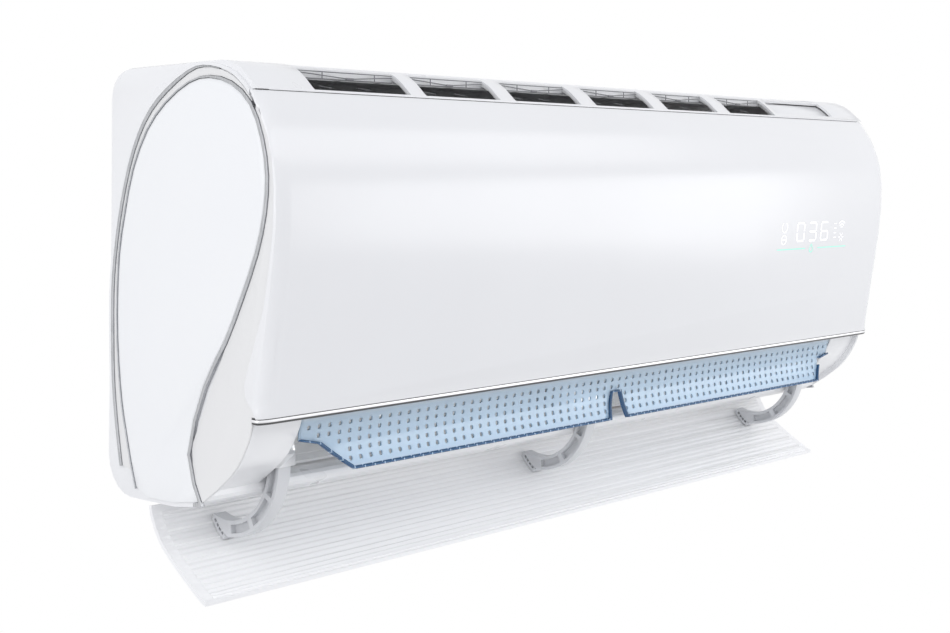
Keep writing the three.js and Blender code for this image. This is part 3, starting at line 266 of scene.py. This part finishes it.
vane_blue, vane_tree, vane_shader = new_finish(
    "vane_blue", (0.5, 0.7, 0.88), 0.12, Transmission_Weight=0.3, IOR=1.45, Coat_Weight=0.3
)


def object_axes(tree):
    """The object's own X, Y and Z, each as a value."""
    place = tree.nodes.new("ShaderNodeTexCoord")
    parts = tree.nodes.new("ShaderNodeSeparateXYZ")
    tree.links.new(place.outputs["Object"], parts.inputs["Vector"])
    return parts.outputs


def ramp_between(tree, value, low, high, stops):
    """A colour that runs through the stops (share, colour) as a value goes from low to high."""
    reach = tree.nodes.new("ShaderNodeMapRange")
    reach.inputs["From Min"].default_value = low
    reach.inputs["From Max"].default_value = high
    colours = tree.nodes.new("ShaderNodeValToRGB")
    while len(colours.color_ramp.elements) < len(stops):
        colours.color_ramp.elements.new(0.5)
    for element, (share, colour) in zip(colours.color_ramp.elements, stops):
        element.position = share
        element.color = (*colour, 1)
    tree.links.new(value, reach.inputs["Value"])
    tree.links.new(reach.outputs["Result"], colours.inputs["Fac"])
    return colours.outputs["Color"]


# The blue turns paler over the top few millimetres of the vane.
vane_blue_by_height = ramp_between(
    vane_tree, object_axes(vane_tree)["Z"], VANE_FOOT * MM, TINT_TOP * MM,
    [(0.0, (0.5, 0.68, 0.86)), (0.82, (0.62, 0.77, 0.91)), (0.86, (0.76, 0.87, 0.97))],
)
# The lip's deep blue is painted shade, and the pale mark at each column of holes is a painted
# glint.
painted_glints = vane_tree.nodes.new("ShaderNodeTexWave")
painted_glints.bands_direction = "X"
painted_glints.inputs["Scale"].default_value = WAVE_PERIOD / (HOLE_PITCH * MM)
painted_glints.inputs["Distortion"].default_value = 0
painted_glint_place = vane_tree.nodes.new("ShaderNodeTexCoord")
vane_tree.links.new(painted_glint_place.outputs["Object"], painted_glints.inputs["Vector"])
lip_painted_shade_and_glints = ramp_between(
    vane_tree, painted_glints.outputs["Fac"], 0.0, 1.0,
    [(0.0, (0.03, 0.11, 0.25)), (0.955, (0.04, 0.13, 0.29)), (0.985, (0.45, 0.62, 0.8))],
)
on_lip = vane_tree.nodes.new("ShaderNodeAttribute")
on_lip.attribute_name = "lip"
vane_colour = vane_tree.nodes.new("ShaderNodeMix")
vane_colour.data_type = "RGBA"
vane_tree.links.new(on_lip.outputs["Fac"], vane_colour.inputs["Factor"])
vane_tree.links.new(vane_blue_by_height, vane_colour.inputs["A"])
vane_tree.links.new(lip_painted_shade_and_glints, vane_colour.inputs["B"])
vane_tree.links.new(vane_colour.outputs["Result"], vane_shader.inputs["Base Color"])
grain(vane_tree, vane_shader, object_noise(vane_tree, 500.0), 0.0002, 0.06)
print("vane finish, a glint every", HOLE_PITCH, "mm")

# %% [markdown]
# Each node keeps its measured shape. A copy with merged corners shows it, so that
# curved walls can be shaded smooth while true edges stay crisp.

# %% Finish for every node
FINISHES = {
    "front_panel": polished_white, "front_frame": shell_white, "intake_grille": shell_white,
    "end_cap_left": cap_white, "end_cap_right": cap_white,
    "side_wing_left": wing_grey, "side_wing_right": wing_grey,
    "side_band_left": wing_grey, "side_band_right": wing_grey,
    "side_trim_left": silver_line, "side_trim_right": silver_line, "panel_trim": strip_silver_painted_light,
    "rear_trim_left": silver_line, "rear_trim_right": silver_line,
    "flap": flap_white, "diffuser_vane": vane_blue,
    "flap_arm_left": arm_grey, "flap_arm_centre": arm_grey, "flap_arm_right": arm_grey,
    "evaporator_front": coil_fins_painted_shade, "evaporator_top": coil_fins_painted_shade, "evaporator_rear": coil_fins_painted_shade,
    "coil_tube": copper, "liquid_pipe": copper, "gas_pipe": copper,
    "liquid_flare_nut": brass, "gas_flare_nut": brass,
    "wall_plate": zinc_steel, "fan_shaft": zinc_steel, "fan_motor": zinc_steel,
    "crossflow_fan": dark_plastic, "fan_bearing": dark_plastic, "control_box": dark_plastic,
    "tie_bar_left": satin_white, "tie_bar_right": satin_white,
    "swing_rail_left": satin_white, "swing_rail_right": satin_white,
    "display_board": board_green, "control_board": board_green,
    "filter_left": filter_net_painted_shade, "filter_right": filter_net_painted_shade,
}

body_of_node = {}
for body, parts in frame["record"]["behaviour"]["bodies"].items():
    for part in parts:
        body_of_node[part] = body


def own_piece(name, mesh, node, finish):
    """Puts a finished mesh in the scene, riding with the body of a node."""
    piece = bpy.data.objects.new(name, mesh)
    bpy.context.scene.collection.objects.link(piece)
    mesh.materials.clear()
    mesh.materials.append(finish)
    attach(piece, body_of_node[node])
    return piece


def soft_edges(mesh, degrees):
    for face in mesh.polygons:
        face.use_smooth = True
    mesh.set_sharp_from_angle(angle=math.radians(degrees))


def merged_copy(node):
    """The shape of a node with its corners merged, as a bmesh."""
    shape = bmesh.new()
    shape.from_mesh(frame["nodes"][node].data)
    bmesh.ops.remove_doubles(shape, verts=shape.verts, dist=0.00001)
    return shape


def smoothed(node, degrees=32):
    """A copy of a node with its corners merged and its curved walls shaded smooth."""
    shape = merged_copy(node)
    mesh = bpy.data.meshes.new(node + "_skin")
    shape.to_mesh(mesh)
    shape.free()
    soft_edges(mesh, degrees)
    piece = own_piece(node + "_skin", mesh, node, FINISHES.get(node, satin_white))
    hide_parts(node)
    return piece


def eased(node, radius, segments=3, angle=33):
    """A copy of a node whose edges are rounded, as they leave the mould."""
    shape = merged_copy(node)
    flat = [edge for edge in shape.edges
            if edge.is_manifold and edge.calc_face_angle(0) < math.radians(0.4)]
    bmesh.ops.dissolve_edges(shape, edges=flat, use_verts=True)
    mesh = bpy.data.meshes.new(node + "_eased")
    shape.to_mesh(mesh)
    shape.free()
    for face in mesh.polygons:
        face.use_smooth = True
    piece = own_piece(node + "_eased", mesh, node, FINISHES.get(node, satin_white))
    rounding = piece.modifiers.new("rounding", "BEVEL")
    rounding.width = radius * MM
    rounding.segments = segments
    rounding.limit_method = "ANGLE"
    rounding.angle_limit = math.radians(angle)
    rounding.harden_normals = True
    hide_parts(node)
    return piece


remodelled = set()
for node, source in frame["nodes"].items():
    source.data.materials.clear()
    source.data.materials.append(FINISHES.get(node, satin_white))
print("finishes on", len(frame["nodes"]), "nodes")

# %% [markdown]
# A moulded edge is never a sharp line: it has a small radius that catches the light. The
# parts in view get one by a Bevel modifier, which rounds only the edges that turn enough.

# %% Rounded edges on the parts in view
EASED = {
    "front_panel": 0.9, "front_frame": 0.5, "intake_grille": 0.5,
    "end_cap_left": 0.5, "end_cap_right": 0.5, "side_wing_left": 0.5, "side_wing_right": 0.5,
    "side_band_left": 0.4, "side_band_right": 0.4,
    "side_trim_left": 0.45, "side_trim_right": 0.45,
    "rear_trim_left": 0.45, "rear_trim_right": 0.45, "panel_trim": 0.5,
    "flap_arm_left": 0.4, "flap_arm_centre": 0.4, "flap_arm_right": 0.4,
}
for node, radius in EASED.items():
    eased(node, radius)
    remodelled.add(node)
print("rounded", len(EASED), "nodes")

# %% [markdown]
# The vane: one thin plate as wide as the outlet, bent to a shallow S, with rows of small
# holes that spread the air, a notch for each arm of the flap and a thick lip along the
# foot. It is moulded in one piece. Here it starts as a flat grid with one cell for every
# hole. Each cell is inset, the inset is rounded at its corners and taken out, the notches
# are cut with planes, the sheet is bent along the path and thickened.

# %% Perforated vane
VANE_PATH = [(-194, -93.5), (-189.2, -104), (-187, -118), (-187.8, -131), (-191, -143)]
VANE_END, VANE_WALL, VANE_RISE = 385.0, 2.0, 1.0
LIP_DEPTH, LIP_HEIGHT, LIP_RAISE = 2.6, 1.8, 0.6
NEAR = 0.01  # millimetres; corners closer than this lie on the same line
vane_line = smooth_path(VANE_PATH, 60)
vane_reach = [0.0]
for before, here in zip(vane_line, vane_line[1:]):
    vane_reach.append(vane_reach[-1] + (here - before).length)
VANE_LENGTH = vane_reach[-1]


def on_line(line, reach, at):
    """The point and the direction of a path at a distance along it."""
    i = next((k for k in range(1, len(reach)) if at <= reach[k]), len(reach) - 1)
    along = (line[i] - line[i - 1]).normalized()
    return line[i - 1] + along * (at - reach[i - 1]), along


def kept_depth(x):
    """How far down the vane reaches at a place along its width."""
    if x < -365:
        return 23.5 + (x + VANE_END) * 0.23
    if x < -332:
        return 28 + (x + 365) * 0.71
    if abs(x) < 6.5:
        return 26
    if abs(x) < 9.5:
        return 26 + (abs(x) - 6.5) * 4
    if abs(x) < 13:
        return 38 + (abs(x) - 9.5) * 4
    if x < 358:
        return VANE_LENGTH + 1
    if x < 366:
        return VANE_LENGTH - 1 - (x - 358) * 2
    return 27 - (x - 366) * 0.2


columns = int(2 * VANE_END / HOLE_PITCH)
holes_top = VANE_LENGTH - 4.4 - HOLE_ROWS * ROW_PITCH
sheet = bmesh.new()
bmesh.ops.create_grid(sheet, x_segments=columns, y_segments=HOLE_ROWS, size=0.5)
for vert in sheet.verts:
    vert.co.x *= columns * HOLE_PITCH
    vert.co.y = holes_top + (0.5 - vert.co.y) * HOLE_ROWS * ROW_PITCH
sheet.normal_update()
cells = list(sheet.faces)
inset_width = (ROW_PITCH - HOLE_WIDTH) / 2
bmesh.ops.inset_individual(sheet, faces=cells, thickness=inset_width, use_even_offset=True)
for cell in cells:
    middle = cell.calc_center_median()
    for vert in cell.verts:
        vert.co.x = middle.x + math.copysign(HOLE_WIDTH / 2, vert.co.x - middle.x)
hole_corners = [vert for cell in cells for vert in cell.verts]
bmesh.ops.bevel(sheet, geom=hole_corners, affect="VERTICES", offset=HOLE_WIDTH * 0.29,
                offset_type="OFFSET", segments=2, profile=0.5, material=-1)


def is_hole(face):
    """A small round face that lies far enough inside the outline of the vane."""
    middle = face.calc_center_median()
    round_off = max(abs((vert.co - middle).length - HOLE_WIDTH / 2) for vert in face.verts)
    if face.calc_area() >= HOLE_WIDTH**2 or round_off >= HOLE_WIDTH * 0.15:
        return False
    depth = min(kept_depth(middle.x + side * HOLE_MARGIN) for side in (-1, 0, 1))
    return middle.y + HOLE_MARGIN < depth


holes = [face for face in sheet.faces if is_hole(face)]
bmesh.ops.delete(sheet, geom=holes, context="FACES_ONLY")


def rim_at(level):
    """The boundary edges at one height of the flat sheet."""
    return [edge for edge in sheet.edges
            if edge.is_boundary and all(abs(vert.co.y - level) < NEAR for vert in edge.verts)]


rims = (
    (rim_at(holes_top), -VANE_RISE),
    (rim_at(holes_top + HOLE_ROWS * ROW_PITCH), VANE_LENGTH),
)
for rim, goal in rims:
    grown = bmesh.ops.extrude_edge_only(sheet, edges=rim)
    for item in grown["geom"]:
        if isinstance(item, bmesh.types.BMVert):
            item.co.y = goal
side_edges = [edge for edge in sheet.edges if edge.is_boundary and all(
    abs(abs(vert.co.x) - columns * HOLE_PITCH / 2) < NEAR for vert in edge.verts)]
grown = bmesh.ops.extrude_edge_only(sheet, edges=side_edges)
for item in grown["geom"]:
    if isinstance(item, bmesh.types.BMVert):
        item.co.x = math.copysign(VANE_END, item.co.x)
print("vane:", columns * HOLE_ROWS, "cells,", len(holes), "holes,", len(sheet.faces), "faces")


def split(shape, point, normal, between=(-500, 500)):
    """Adds an edge where a plane crosses the shape, within a stretch of X."""
    near = [face for face in shape.faces
            if all(between[0] - NEAR <= vert.co.x <= between[1] + NEAR for vert in face.verts)]
    geom = near + list({edge for face in near for edge in face.edges}) \
        + list({vert for face in near for vert in face.verts})
    bmesh.ops.bisect_plane(
        shape, geom=geom, plane_co=(*point, 0), plane_no=(*normal, 0), dist=0.0001
    )


corners = [(-385, 23.5), (-365, 28), (-332, VANE_LENGTH + 0.6), (-13, VANE_LENGTH + 1), (-9.5, 38),
           (-6.5, 26), (6.5, 26), (9.5, 38), (13, VANE_LENGTH + 1), (358, VANE_LENGTH + 1),
           (358, VANE_LENGTH - 1), (366, VANE_LENGTH - 17), (366, 27), (385, 23.2)]
for x, _ in corners[1:-1]:
    split(sheet, (x, 0), (1, 0))
for (x0, y0), (x1, y1) in zip(corners, corners[1:]):
    if abs(x1 - x0) > 0.5:
        split(sheet, (x0, y0), (y1 - y0, x0 - x1), (x0, x1))
cut_away = [face for face in sheet.faces
            if face.calc_center_median().y > kept_depth(face.calc_center_median().x)]
bmesh.ops.delete(sheet, geom=cut_away, context="FACES")


def near_outline(vert):
    """How far a corner lies above the lower edge of the vane."""
    return min(abs(vert.co.y - kept_depth(vert.co.x + side * 0.02)) for side in (-1, 1))


def is_low_edge(edge):
    if not edge.is_boundary:
        return False
    if all(abs(vert.co.y - VANE_LENGTH) < NEAR for vert in edge.verts):
        return True
    middle = (edge.verts[0].co + edge.verts[1].co) / 2
    steep = abs(middle.x) < VANE_END - 0.5 and middle.y > 22
    return steep and all(
        near_outline(vert) < 0.9 or abs(vert.co.y - VANE_LENGTH) < NEAR for vert in edge.verts
    )


split(sheet, (0, VANE_LENGTH - LIP_HEIGHT), (0, 1))
lip_mark = sheet.faces.layers.float.new("lip")
for face in sheet.faces:
    if face.calc_center_median().y > VANE_LENGTH - LIP_HEIGHT:
        face[lip_mark] = 1.0
lip = bmesh.ops.extrude_edge_only(sheet, edges=[edge for edge in sheet.edges if is_low_edge(edge)])
lip_verts = {item for item in lip["geom"] if isinstance(item, bmesh.types.BMVert)}
for item in lip["geom"]:
    if isinstance(item, bmesh.types.BMFace):
        item[lip_mark] = 1.0
for vert in sheet.verts:
    x, down = vert.co.x, vert.co.y
    point, along = on_line(vane_line, vane_reach, max(down, 0))
    if vert in lip_verts:
        vert.co = Vector((x, point.x - LIP_DEPTH, point.y + LIP_RAISE)) * MM
        continue
    if down < 0:
        point = point - along * (-down)
    middle = point + Vector((-along.y, along.x)) * VANE_WALL / 2
    vert.co = Vector((x, middle.x, middle.y)) * MM
sheet.normal_update()
vane_mesh = bpy.data.meshes.new("perforated_vane")
sheet.to_mesh(vane_mesh)
sheet.free()
soft_edges(vane_mesh, 40)
vane_piece = own_piece("perforated_vane", vane_mesh, "diffuser_vane", vane_blue)
wall = vane_piece.modifiers.new("wall", "SOLIDIFY")
wall.thickness = VANE_WALL * 0.9 * MM
wall.offset = 0
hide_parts("diffuser_vane")
remodelled.add("diffuser_vane")
print("vane mesh", len(vane_mesh.polygons), "faces")

# %% [markdown]
# The vane turns on a smooth moulded pin at each end, set in a small block behind
# its top corner. The pin is drawn as a round bar, the block as a square bar with its edges rounded.

# %% Pins of the vane
def bar_along_x(shape, low, high, middle, size, soft=0.3, turned=0.0):
    """A square bar from low to high along X with rounded edges, in a bmesh."""
    made = bmesh.ops.create_cube(shape, size=1)["verts"]
    place = Matrix.Translation(Vector(((low + high) / 2, *middle)) * MM)
    turn = Matrix.Rotation(math.radians(turned), 4, "X")
    grow = Matrix.Diagonal(Vector(((high - low) * MM, size[0] * MM, size[1] * MM, 1)))
    bmesh.ops.transform(shape, matrix=place @ turn @ grow, verts=made)
    edges = list({edge for vert in made for edge in vert.link_edges})
    bmesh.ops.bevel(shape, geom=edges, affect="EDGES", offset=soft * MM, offset_type="OFFSET",
                    segments=2, profile=0.5, material=-1)


def rod_along(shape, start, goal, radius, sides=16):
    """A round rod between two points, in a bmesh."""
    start, goal = Vector(start) * MM, Vector(goal) * MM
    turn = (goal - start).to_track_quat("Z", "Y").to_matrix().to_4x4()
    place = Matrix.Translation((start + goal) / 2)
    bmesh.ops.create_cone(
        shape, cap_ends=True, segments=sides, radius1=radius * MM, radius2=radius * MM,
        depth=(goal - start).length, matrix=place @ turn,
    )


def finished(name, shape, node, finish, degrees=35):
    mesh = bpy.data.meshes.new(name)
    shape.to_mesh(mesh)
    shape.free()
    soft_edges(mesh, degrees)
    return own_piece(name, mesh, node, finish)


VANE_AXIS = (-192.0, -92.0)
OUTLET_HALF, PIN_RADIUS = 386.5, 1.9
pins = bmesh.new()
for side in (-1, 1):
    inner, outer = sorted((side * (VANE_END - 8), side * VANE_END))
    bar_along_x(pins, inner, outer, (VANE_AXIS[0] + 0.2, VANE_AXIS[1] - 2.4), (3.4, 6.8))
    start, goal = side * (VANE_END - 7), side * (OUTLET_HALF + 2)
    rod_along(pins, (start, *VANE_AXIS), (goal, *VANE_AXIS), PIN_RADIUS)
finished("vane_pins", pins, "diffuser_vane", satin_white)
print("two pins and their blocks")

# %% [markdown]
# Behind each intake window runs the wire guard of the intake: a long wire under the deck,
# two that lean to a knot in the middle of the window, and short posts. Drawn rod by rod.

# %% Wire guard in the intake windows
WINDOWS = [(-381, -280), (-263, -174), (-155, -66), (-44, 44), (66, 151), (173, 258)]
WIRE, GUARD_Y = 0.42, -178.6
HIGH_WIRE, LOW_WIRE = 166.4, 160.8
guard_grey, guard_tree, guard_shader = new_finish("guard_grey", (0.22, 0.225, 0.24), 0.4)
two_tone(guard_tree, guard_shader, object_noise(guard_tree, 40.0),
         (0.18, 0.185, 0.2), (0.3, 0.305, 0.32))
guard = bmesh.new()
for low, high in WINDOWS:
    knot = (low + high) / 2 + 4
    for start, goal in (
        ((low + 1, HIGH_WIRE), (high - 1, HIGH_WIRE)), ((low + 1, LOW_WIRE), (high - 1, LOW_WIRE)),
        ((low + 1, 165.2), (knot, 161.8)), ((knot, 161.8), (high - 1, 164.8)),
        ((low + 26, HIGH_WIRE), (low + 26, LOW_WIRE)),
        ((high - 20, HIGH_WIRE), (high - 20, LOW_WIRE)),
    ):
        rod_along(guard, (start[0], GUARD_Y, start[1]), (goal[0], GUARD_Y, goal[1]), WIRE, 8)
    bar_along_x(guard, knot - 4, knot + 4, (GUARD_Y, 161.9), (1.4, 1.6), 0.3)
    for share in (0.3, 0.7):
        middle = low + (high - low) * share
        rod_along(guard, (middle - 7, GUARD_Y + 1, 155.2), (middle + 7, GUARD_Y + 1, 153.8), 0.3, 6)
finished("intake_guard", guard, "front_frame", guard_grey)
print("guard wires in", len(WINDOWS), "windows")

# %% [markdown]
# The display shines through the panel: thin printed marks just proud of its surface. A
# ray towards the bowed panel finds the surface under every corner of a mark. The reading
# is three digits of seven strokes, with a ring, a drop and bars beside it.

# %% Display behind the panel
panel_shape = merged_copy("front_panel")
panel_tree = BVHTree.FromBMesh(panel_shape)
panel_shape.free()


def glowing(name, colour, strength):
    material, tree, shader = new_finish(name, colour, 0.4, Emission_Strength=strength)
    shader.inputs["Emission Color"].default_value = (*colour, 1)
    grain(tree, shader, object_noise(tree, 700.0), 0.0001, 0.05)
    return material


display_white = glowing("display_white", (1.0, 1.0, 1.0), 0.35)
display_teal = glowing("display_teal", (0.42, 0.8, 0.68), 0.3)


PROUD = 0.12  # how far the marks stand off the panel


def on_panel(shape):
    """Lays a flat drawing (X, Z in millimetres) on the panel, a little proud of it."""
    for vert in shape.verts:
        x, z = vert.co.x, vert.co.y
        hit = panel_tree.ray_cast(Vector((x, -400, z)) * MM, Vector((0, 1, 0)))[0]
        vert.co = Vector((x * MM, hit.y - PROUD * MM, z * MM))


def stroke(shape, start, goal, width):
    """A straight stroke with square ends, as a strip of quads."""
    start, goal = Vector(start), Vector(goal)
    along = (goal - start).normalized()
    turn = Matrix(
        ((along.x, -along.y, 0, 0), (along.y, along.x, 0, 0), (0, 0, 1, 0), (0, 0, 0, 1))
    )
    middle = (start + goal) / 2
    verts = bmesh.ops.create_grid(shape, x_segments=4, y_segments=1, size=0.5)["verts"]
    for vert in verts:
        vert.co.x *= (goal - start).length
        vert.co.y *= width
    place = Matrix.Translation((middle.x, middle.y, 0))
    bmesh.ops.transform(shape, matrix=place @ turn, verts=verts)


def ring(shape, centre, radius, width, start=0, sweep=360, sides=24):
    """Part of a flat ring."""
    steps = max(3, int(sides * sweep / 360))
    points = [Vector((centre[0] + radius * math.cos(math.radians(start + sweep * i / steps)),
                      centre[1] + radius * math.sin(math.radians(start + sweep * i / steps))))
              for i in range(steps + 1)]
    for here, after in zip(points, points[1:]):
        stroke(shape, here, after, width)


STROKES = {  # ends of each stroke as shares of the digit's width and height
    "top": ((0, 1), (1, 1)), "high_left": ((0, 0.5), (0, 1)), "high_right": ((1, 0.5), (1, 1)),
    "middle": ((0, 0.5), (1, 0.5)), "low_left": ((0, 0), (0, 0.5)), "low_right": ((1, 0), (1, 0.5)),
    "foot": ((0, 0), (1, 0)),
}
DIGITS = {
    "0": ("top", "high_left", "high_right", "low_left", "low_right", "foot"),
    "3": ("top", "high_right", "middle", "low_right", "foot"),
    "6": ("top", "high_left", "middle", "low_left", "low_right", "foot"),
}
DIGIT_WIDTH, DIGIT_HEIGHT, DIGIT_STEP, STROKE_WIDTH = 14.0, 19.0, 24.0, 1.7
READING_LEFT, READING_FOOT = 258, 17
FAN_MARK = Vector((349, 19))
BAR_LEVEL = 8.8
reading = bmesh.new()
for place, figure in enumerate("036"):
    for name in DIGITS[figure]:
        (ax, ay), (bx, by) = STROKES[name]
        left = READING_LEFT + place * DIGIT_STEP
        start = Vector((left + ax * DIGIT_WIDTH, READING_FOOT + ay * DIGIT_HEIGHT))
        goal = Vector((left + bx * DIGIT_WIDTH, READING_FOOT + by * DIGIT_HEIGHT))
        trim = (goal - start).normalized() * STROKE_WIDTH * 0.6
        stroke(reading, start + trim, goal - trim, STROKE_WIDTH)
ring(reading, (233, 32), 5.2, 0.8, 120, 300)
ring(reading, (233, 19), 4.8, 0.8)
stroke(reading, (230, 19), (236, 19), 0.8)
for radius in (3, 6, 9):
    ring(reading, (349, 27.5), radius, 0.9, 45, 90)
for turn in range(0, 360, 60):
    spoke = Vector((math.cos(math.radians(turn)), math.sin(math.radians(turn))))
    stroke(reading, FAN_MARK + spoke * 1.6, FAN_MARK + spoke * 5.2, 0.7)
for level in (19, 24, 29, 34):
    stroke(reading, (333, level), (338, level), 0.8)
on_panel(reading)
finished("display_reading", reading, "front_panel", display_white)
bars = bmesh.new()
stroke(bars, (222, BAR_LEVEL), (277, BAR_LEVEL), 1.3)
stroke(bars, (302, BAR_LEVEL), (361, BAR_LEVEL), 1.3)
ring(bars, (289, 8), 3.4, 1.5, -200, 220)
stroke(bars, (286.4, 9.5), (289, 13.2), 1.4)
stroke(bars, (291.6, 9.5), (289, 13.2), 1.4)
on_panel(bars)
finished("display_bars", bars, "front_panel", display_teal)
print("display marks laid on the panel")

# %% [markdown]
# The nodes that nothing above remodelled keep their flat-sided solids. A copy with merged
# corners and smooth shading makes their curved walls read as curved.

# %% Smooth copies of the rest
SMOOTH_TO = {"flap": 8}  # degrees; the flap's fine ribs stay crisp
for node in frame["nodes"]:
    if node not in remodelled:
        smoothed(node, SMOOTH_TO.get(node, 32))
print("smoothed", len(frame["nodes"]) - len(remodelled), "nodes")

# %% [markdown]
# The camera stands low at the left end and looks level along the unit, so the upright
# edges stay parallel. The shift moves the picture down without tilting the camera.

# %% Camera
CAMERA_PLACE, CAMERA_TURN = (-1102, -1056.5, 83.75), -46.31
LENS_LENGTH, SENSOR_WIDTH, CAMERA_SHIFT = 55.93, 36, -0.1458
scene = bpy.context.scene
lens = bpy.data.cameras.new("catalogue_lens")
lens.lens, lens.sensor_width = LENS_LENGTH, SENSOR_WIDTH
lens.shift_y = CAMERA_SHIFT
camera = bpy.data.objects.new("catalogue_camera", lens)
scene.collection.objects.link(camera)
camera.location = Vector(CAMERA_PLACE) * MM
camera.rotation_euler = Euler((math.radians(90), 0, math.radians(CAMERA_TURN)))
scene.camera = camera
print("camera at", CAMERA_PLACE, "mm")

# %% [markdown]
# Catalogue light: a wide soft box stands in front and above, so that the bowed panel is
# greyer where it turns down while the open flap under it is still lit. A weaker one at the
# right looks into the outlet, one at the left lights the end cap, and a small one in
# front and one inside the outlet fill the shade under the unit; the camera and the
# reflections don't see those two. The world is white
# to the camera, to glossy surfaces and through clear plastic; otherwise it is a plain
# ambient level. A pale floor far below throws some light back up.

# %% Lights and background
FLOOR_HALF, AMBIENT_LEVEL = 6, 0.7


def soft_box(name, place, aim, size, power):
    lamp = bpy.data.lights.new(name, "AREA")
    lamp.shape = "RECTANGLE"
    lamp.size, lamp.size_y = size
    lamp.energy = power
    thing = bpy.data.objects.new(name, lamp)
    scene.collection.objects.link(thing)
    thing.location = place
    thing.rotation_euler = (Vector(aim) - Vector(place)).to_track_quat("-Z", "Y").to_euler()
    return thing


soft_box("key_front", (0.4, -2.1, 1.3), (0.1, -0.1, -0.05), (4.6, 1.0), 16)
soft_box("right_low", (1.5, -1.7, 0.0), (-0.1, -0.1, -0.1), (1.4, 0.8), 6)
soft_box("left_end", (-2.6, -0.2, 0.7), (-0.4, -0.1, 0), (2.0, 1.8), 20)
small_boxes = (
    soft_box("low_fill", (0.05, -0.3, -0.13), (0.05, -0.2, -0.32), (1.0, 0.1), 0.26),
    soft_box("duct_strip", (0, -0.158, -0.132), (0, -0.12, -0.09), (0.74, 0.02), 0.11),
)
for strip in small_boxes:
    strip.visible_camera = False
    strip.visible_glossy = False

floor_mesh = bmesh.new()
bmesh.ops.create_grid(floor_mesh, x_segments=1, y_segments=1, size=FLOOR_HALF)
floor_data = bpy.data.meshes.new("pale_floor")
floor_mesh.to_mesh(floor_data)
floor_mesh.free()
floor = bpy.data.objects.new("pale_floor", floor_data)
scene.collection.objects.link(floor)
floor.location = (0, 0, FLOOR_LEVEL)

room = bpy.data.worlds.new("white_room")
scene.world = room
room.use_nodes = True
room_tree = room.node_tree
ambient = room_tree.nodes["Background"]
ambient.inputs["Color"].default_value = (0.95, 0.96, 1.0, 1)
ambient.inputs["Strength"].default_value = AMBIENT_LEVEL
paper = room_tree.nodes.new("ShaderNodeBackground")
paper.inputs["Color"].default_value = (1, 1, 1, 1)
paper.inputs["Strength"].default_value = 1.0


def seen_directly(tree):
    """1 for what the camera sees, straight, in a mirror or through clear plastic."""
    sight = tree.nodes.new("ShaderNodeLightPath")
    found = sight.outputs["Is Camera Ray"]
    for ray in ("Is Glossy Ray", "Is Transmission Ray"):
        either = tree.nodes.new("ShaderNodeMath")
        either.operation = "MAXIMUM"
        tree.links.new(found, either.inputs[0])
        tree.links.new(sight.outputs[ray], either.inputs[1])
        found = either.outputs["Value"]
    return found


def split_sight(tree, plain, white, surface):
    """The plain shader for light on the unit, the white one for what is seen."""
    blend = tree.nodes.new("ShaderNodeMixShader")
    tree.links.new(seen_directly(tree), blend.inputs["Fac"])
    tree.links.new(plain, blend.inputs[1])
    tree.links.new(white, blend.inputs[2])
    tree.links.new(blend.outputs["Shader"], surface)


split_sight(room_tree, ambient.outputs["Background"], paper.outputs["Background"],
            room_tree.nodes["World Output"].inputs["Surface"])

floor_pale, floor_tree, floor_shader = new_finish("floor_pale", (0.8, 0.8, 0.8), 0.8)
floor_white = floor_tree.nodes.new("ShaderNodeEmission")
floor_white.inputs["Strength"].default_value = 1.0
split_sight(floor_tree, floor_shader.outputs["BSDF"], floor_white.outputs["Emission"],
            floor_tree.nodes["Material Output"].inputs["Surface"])
floor_data.materials.append(floor_pale)
print("five lamps, a pale floor and a white room")

# %% [markdown]
# The Standard view shows each colour about as it was written.

# %% View
scene.view_settings.view_transform = "Standard"
print("view:", scene.view_settings.view_transform)
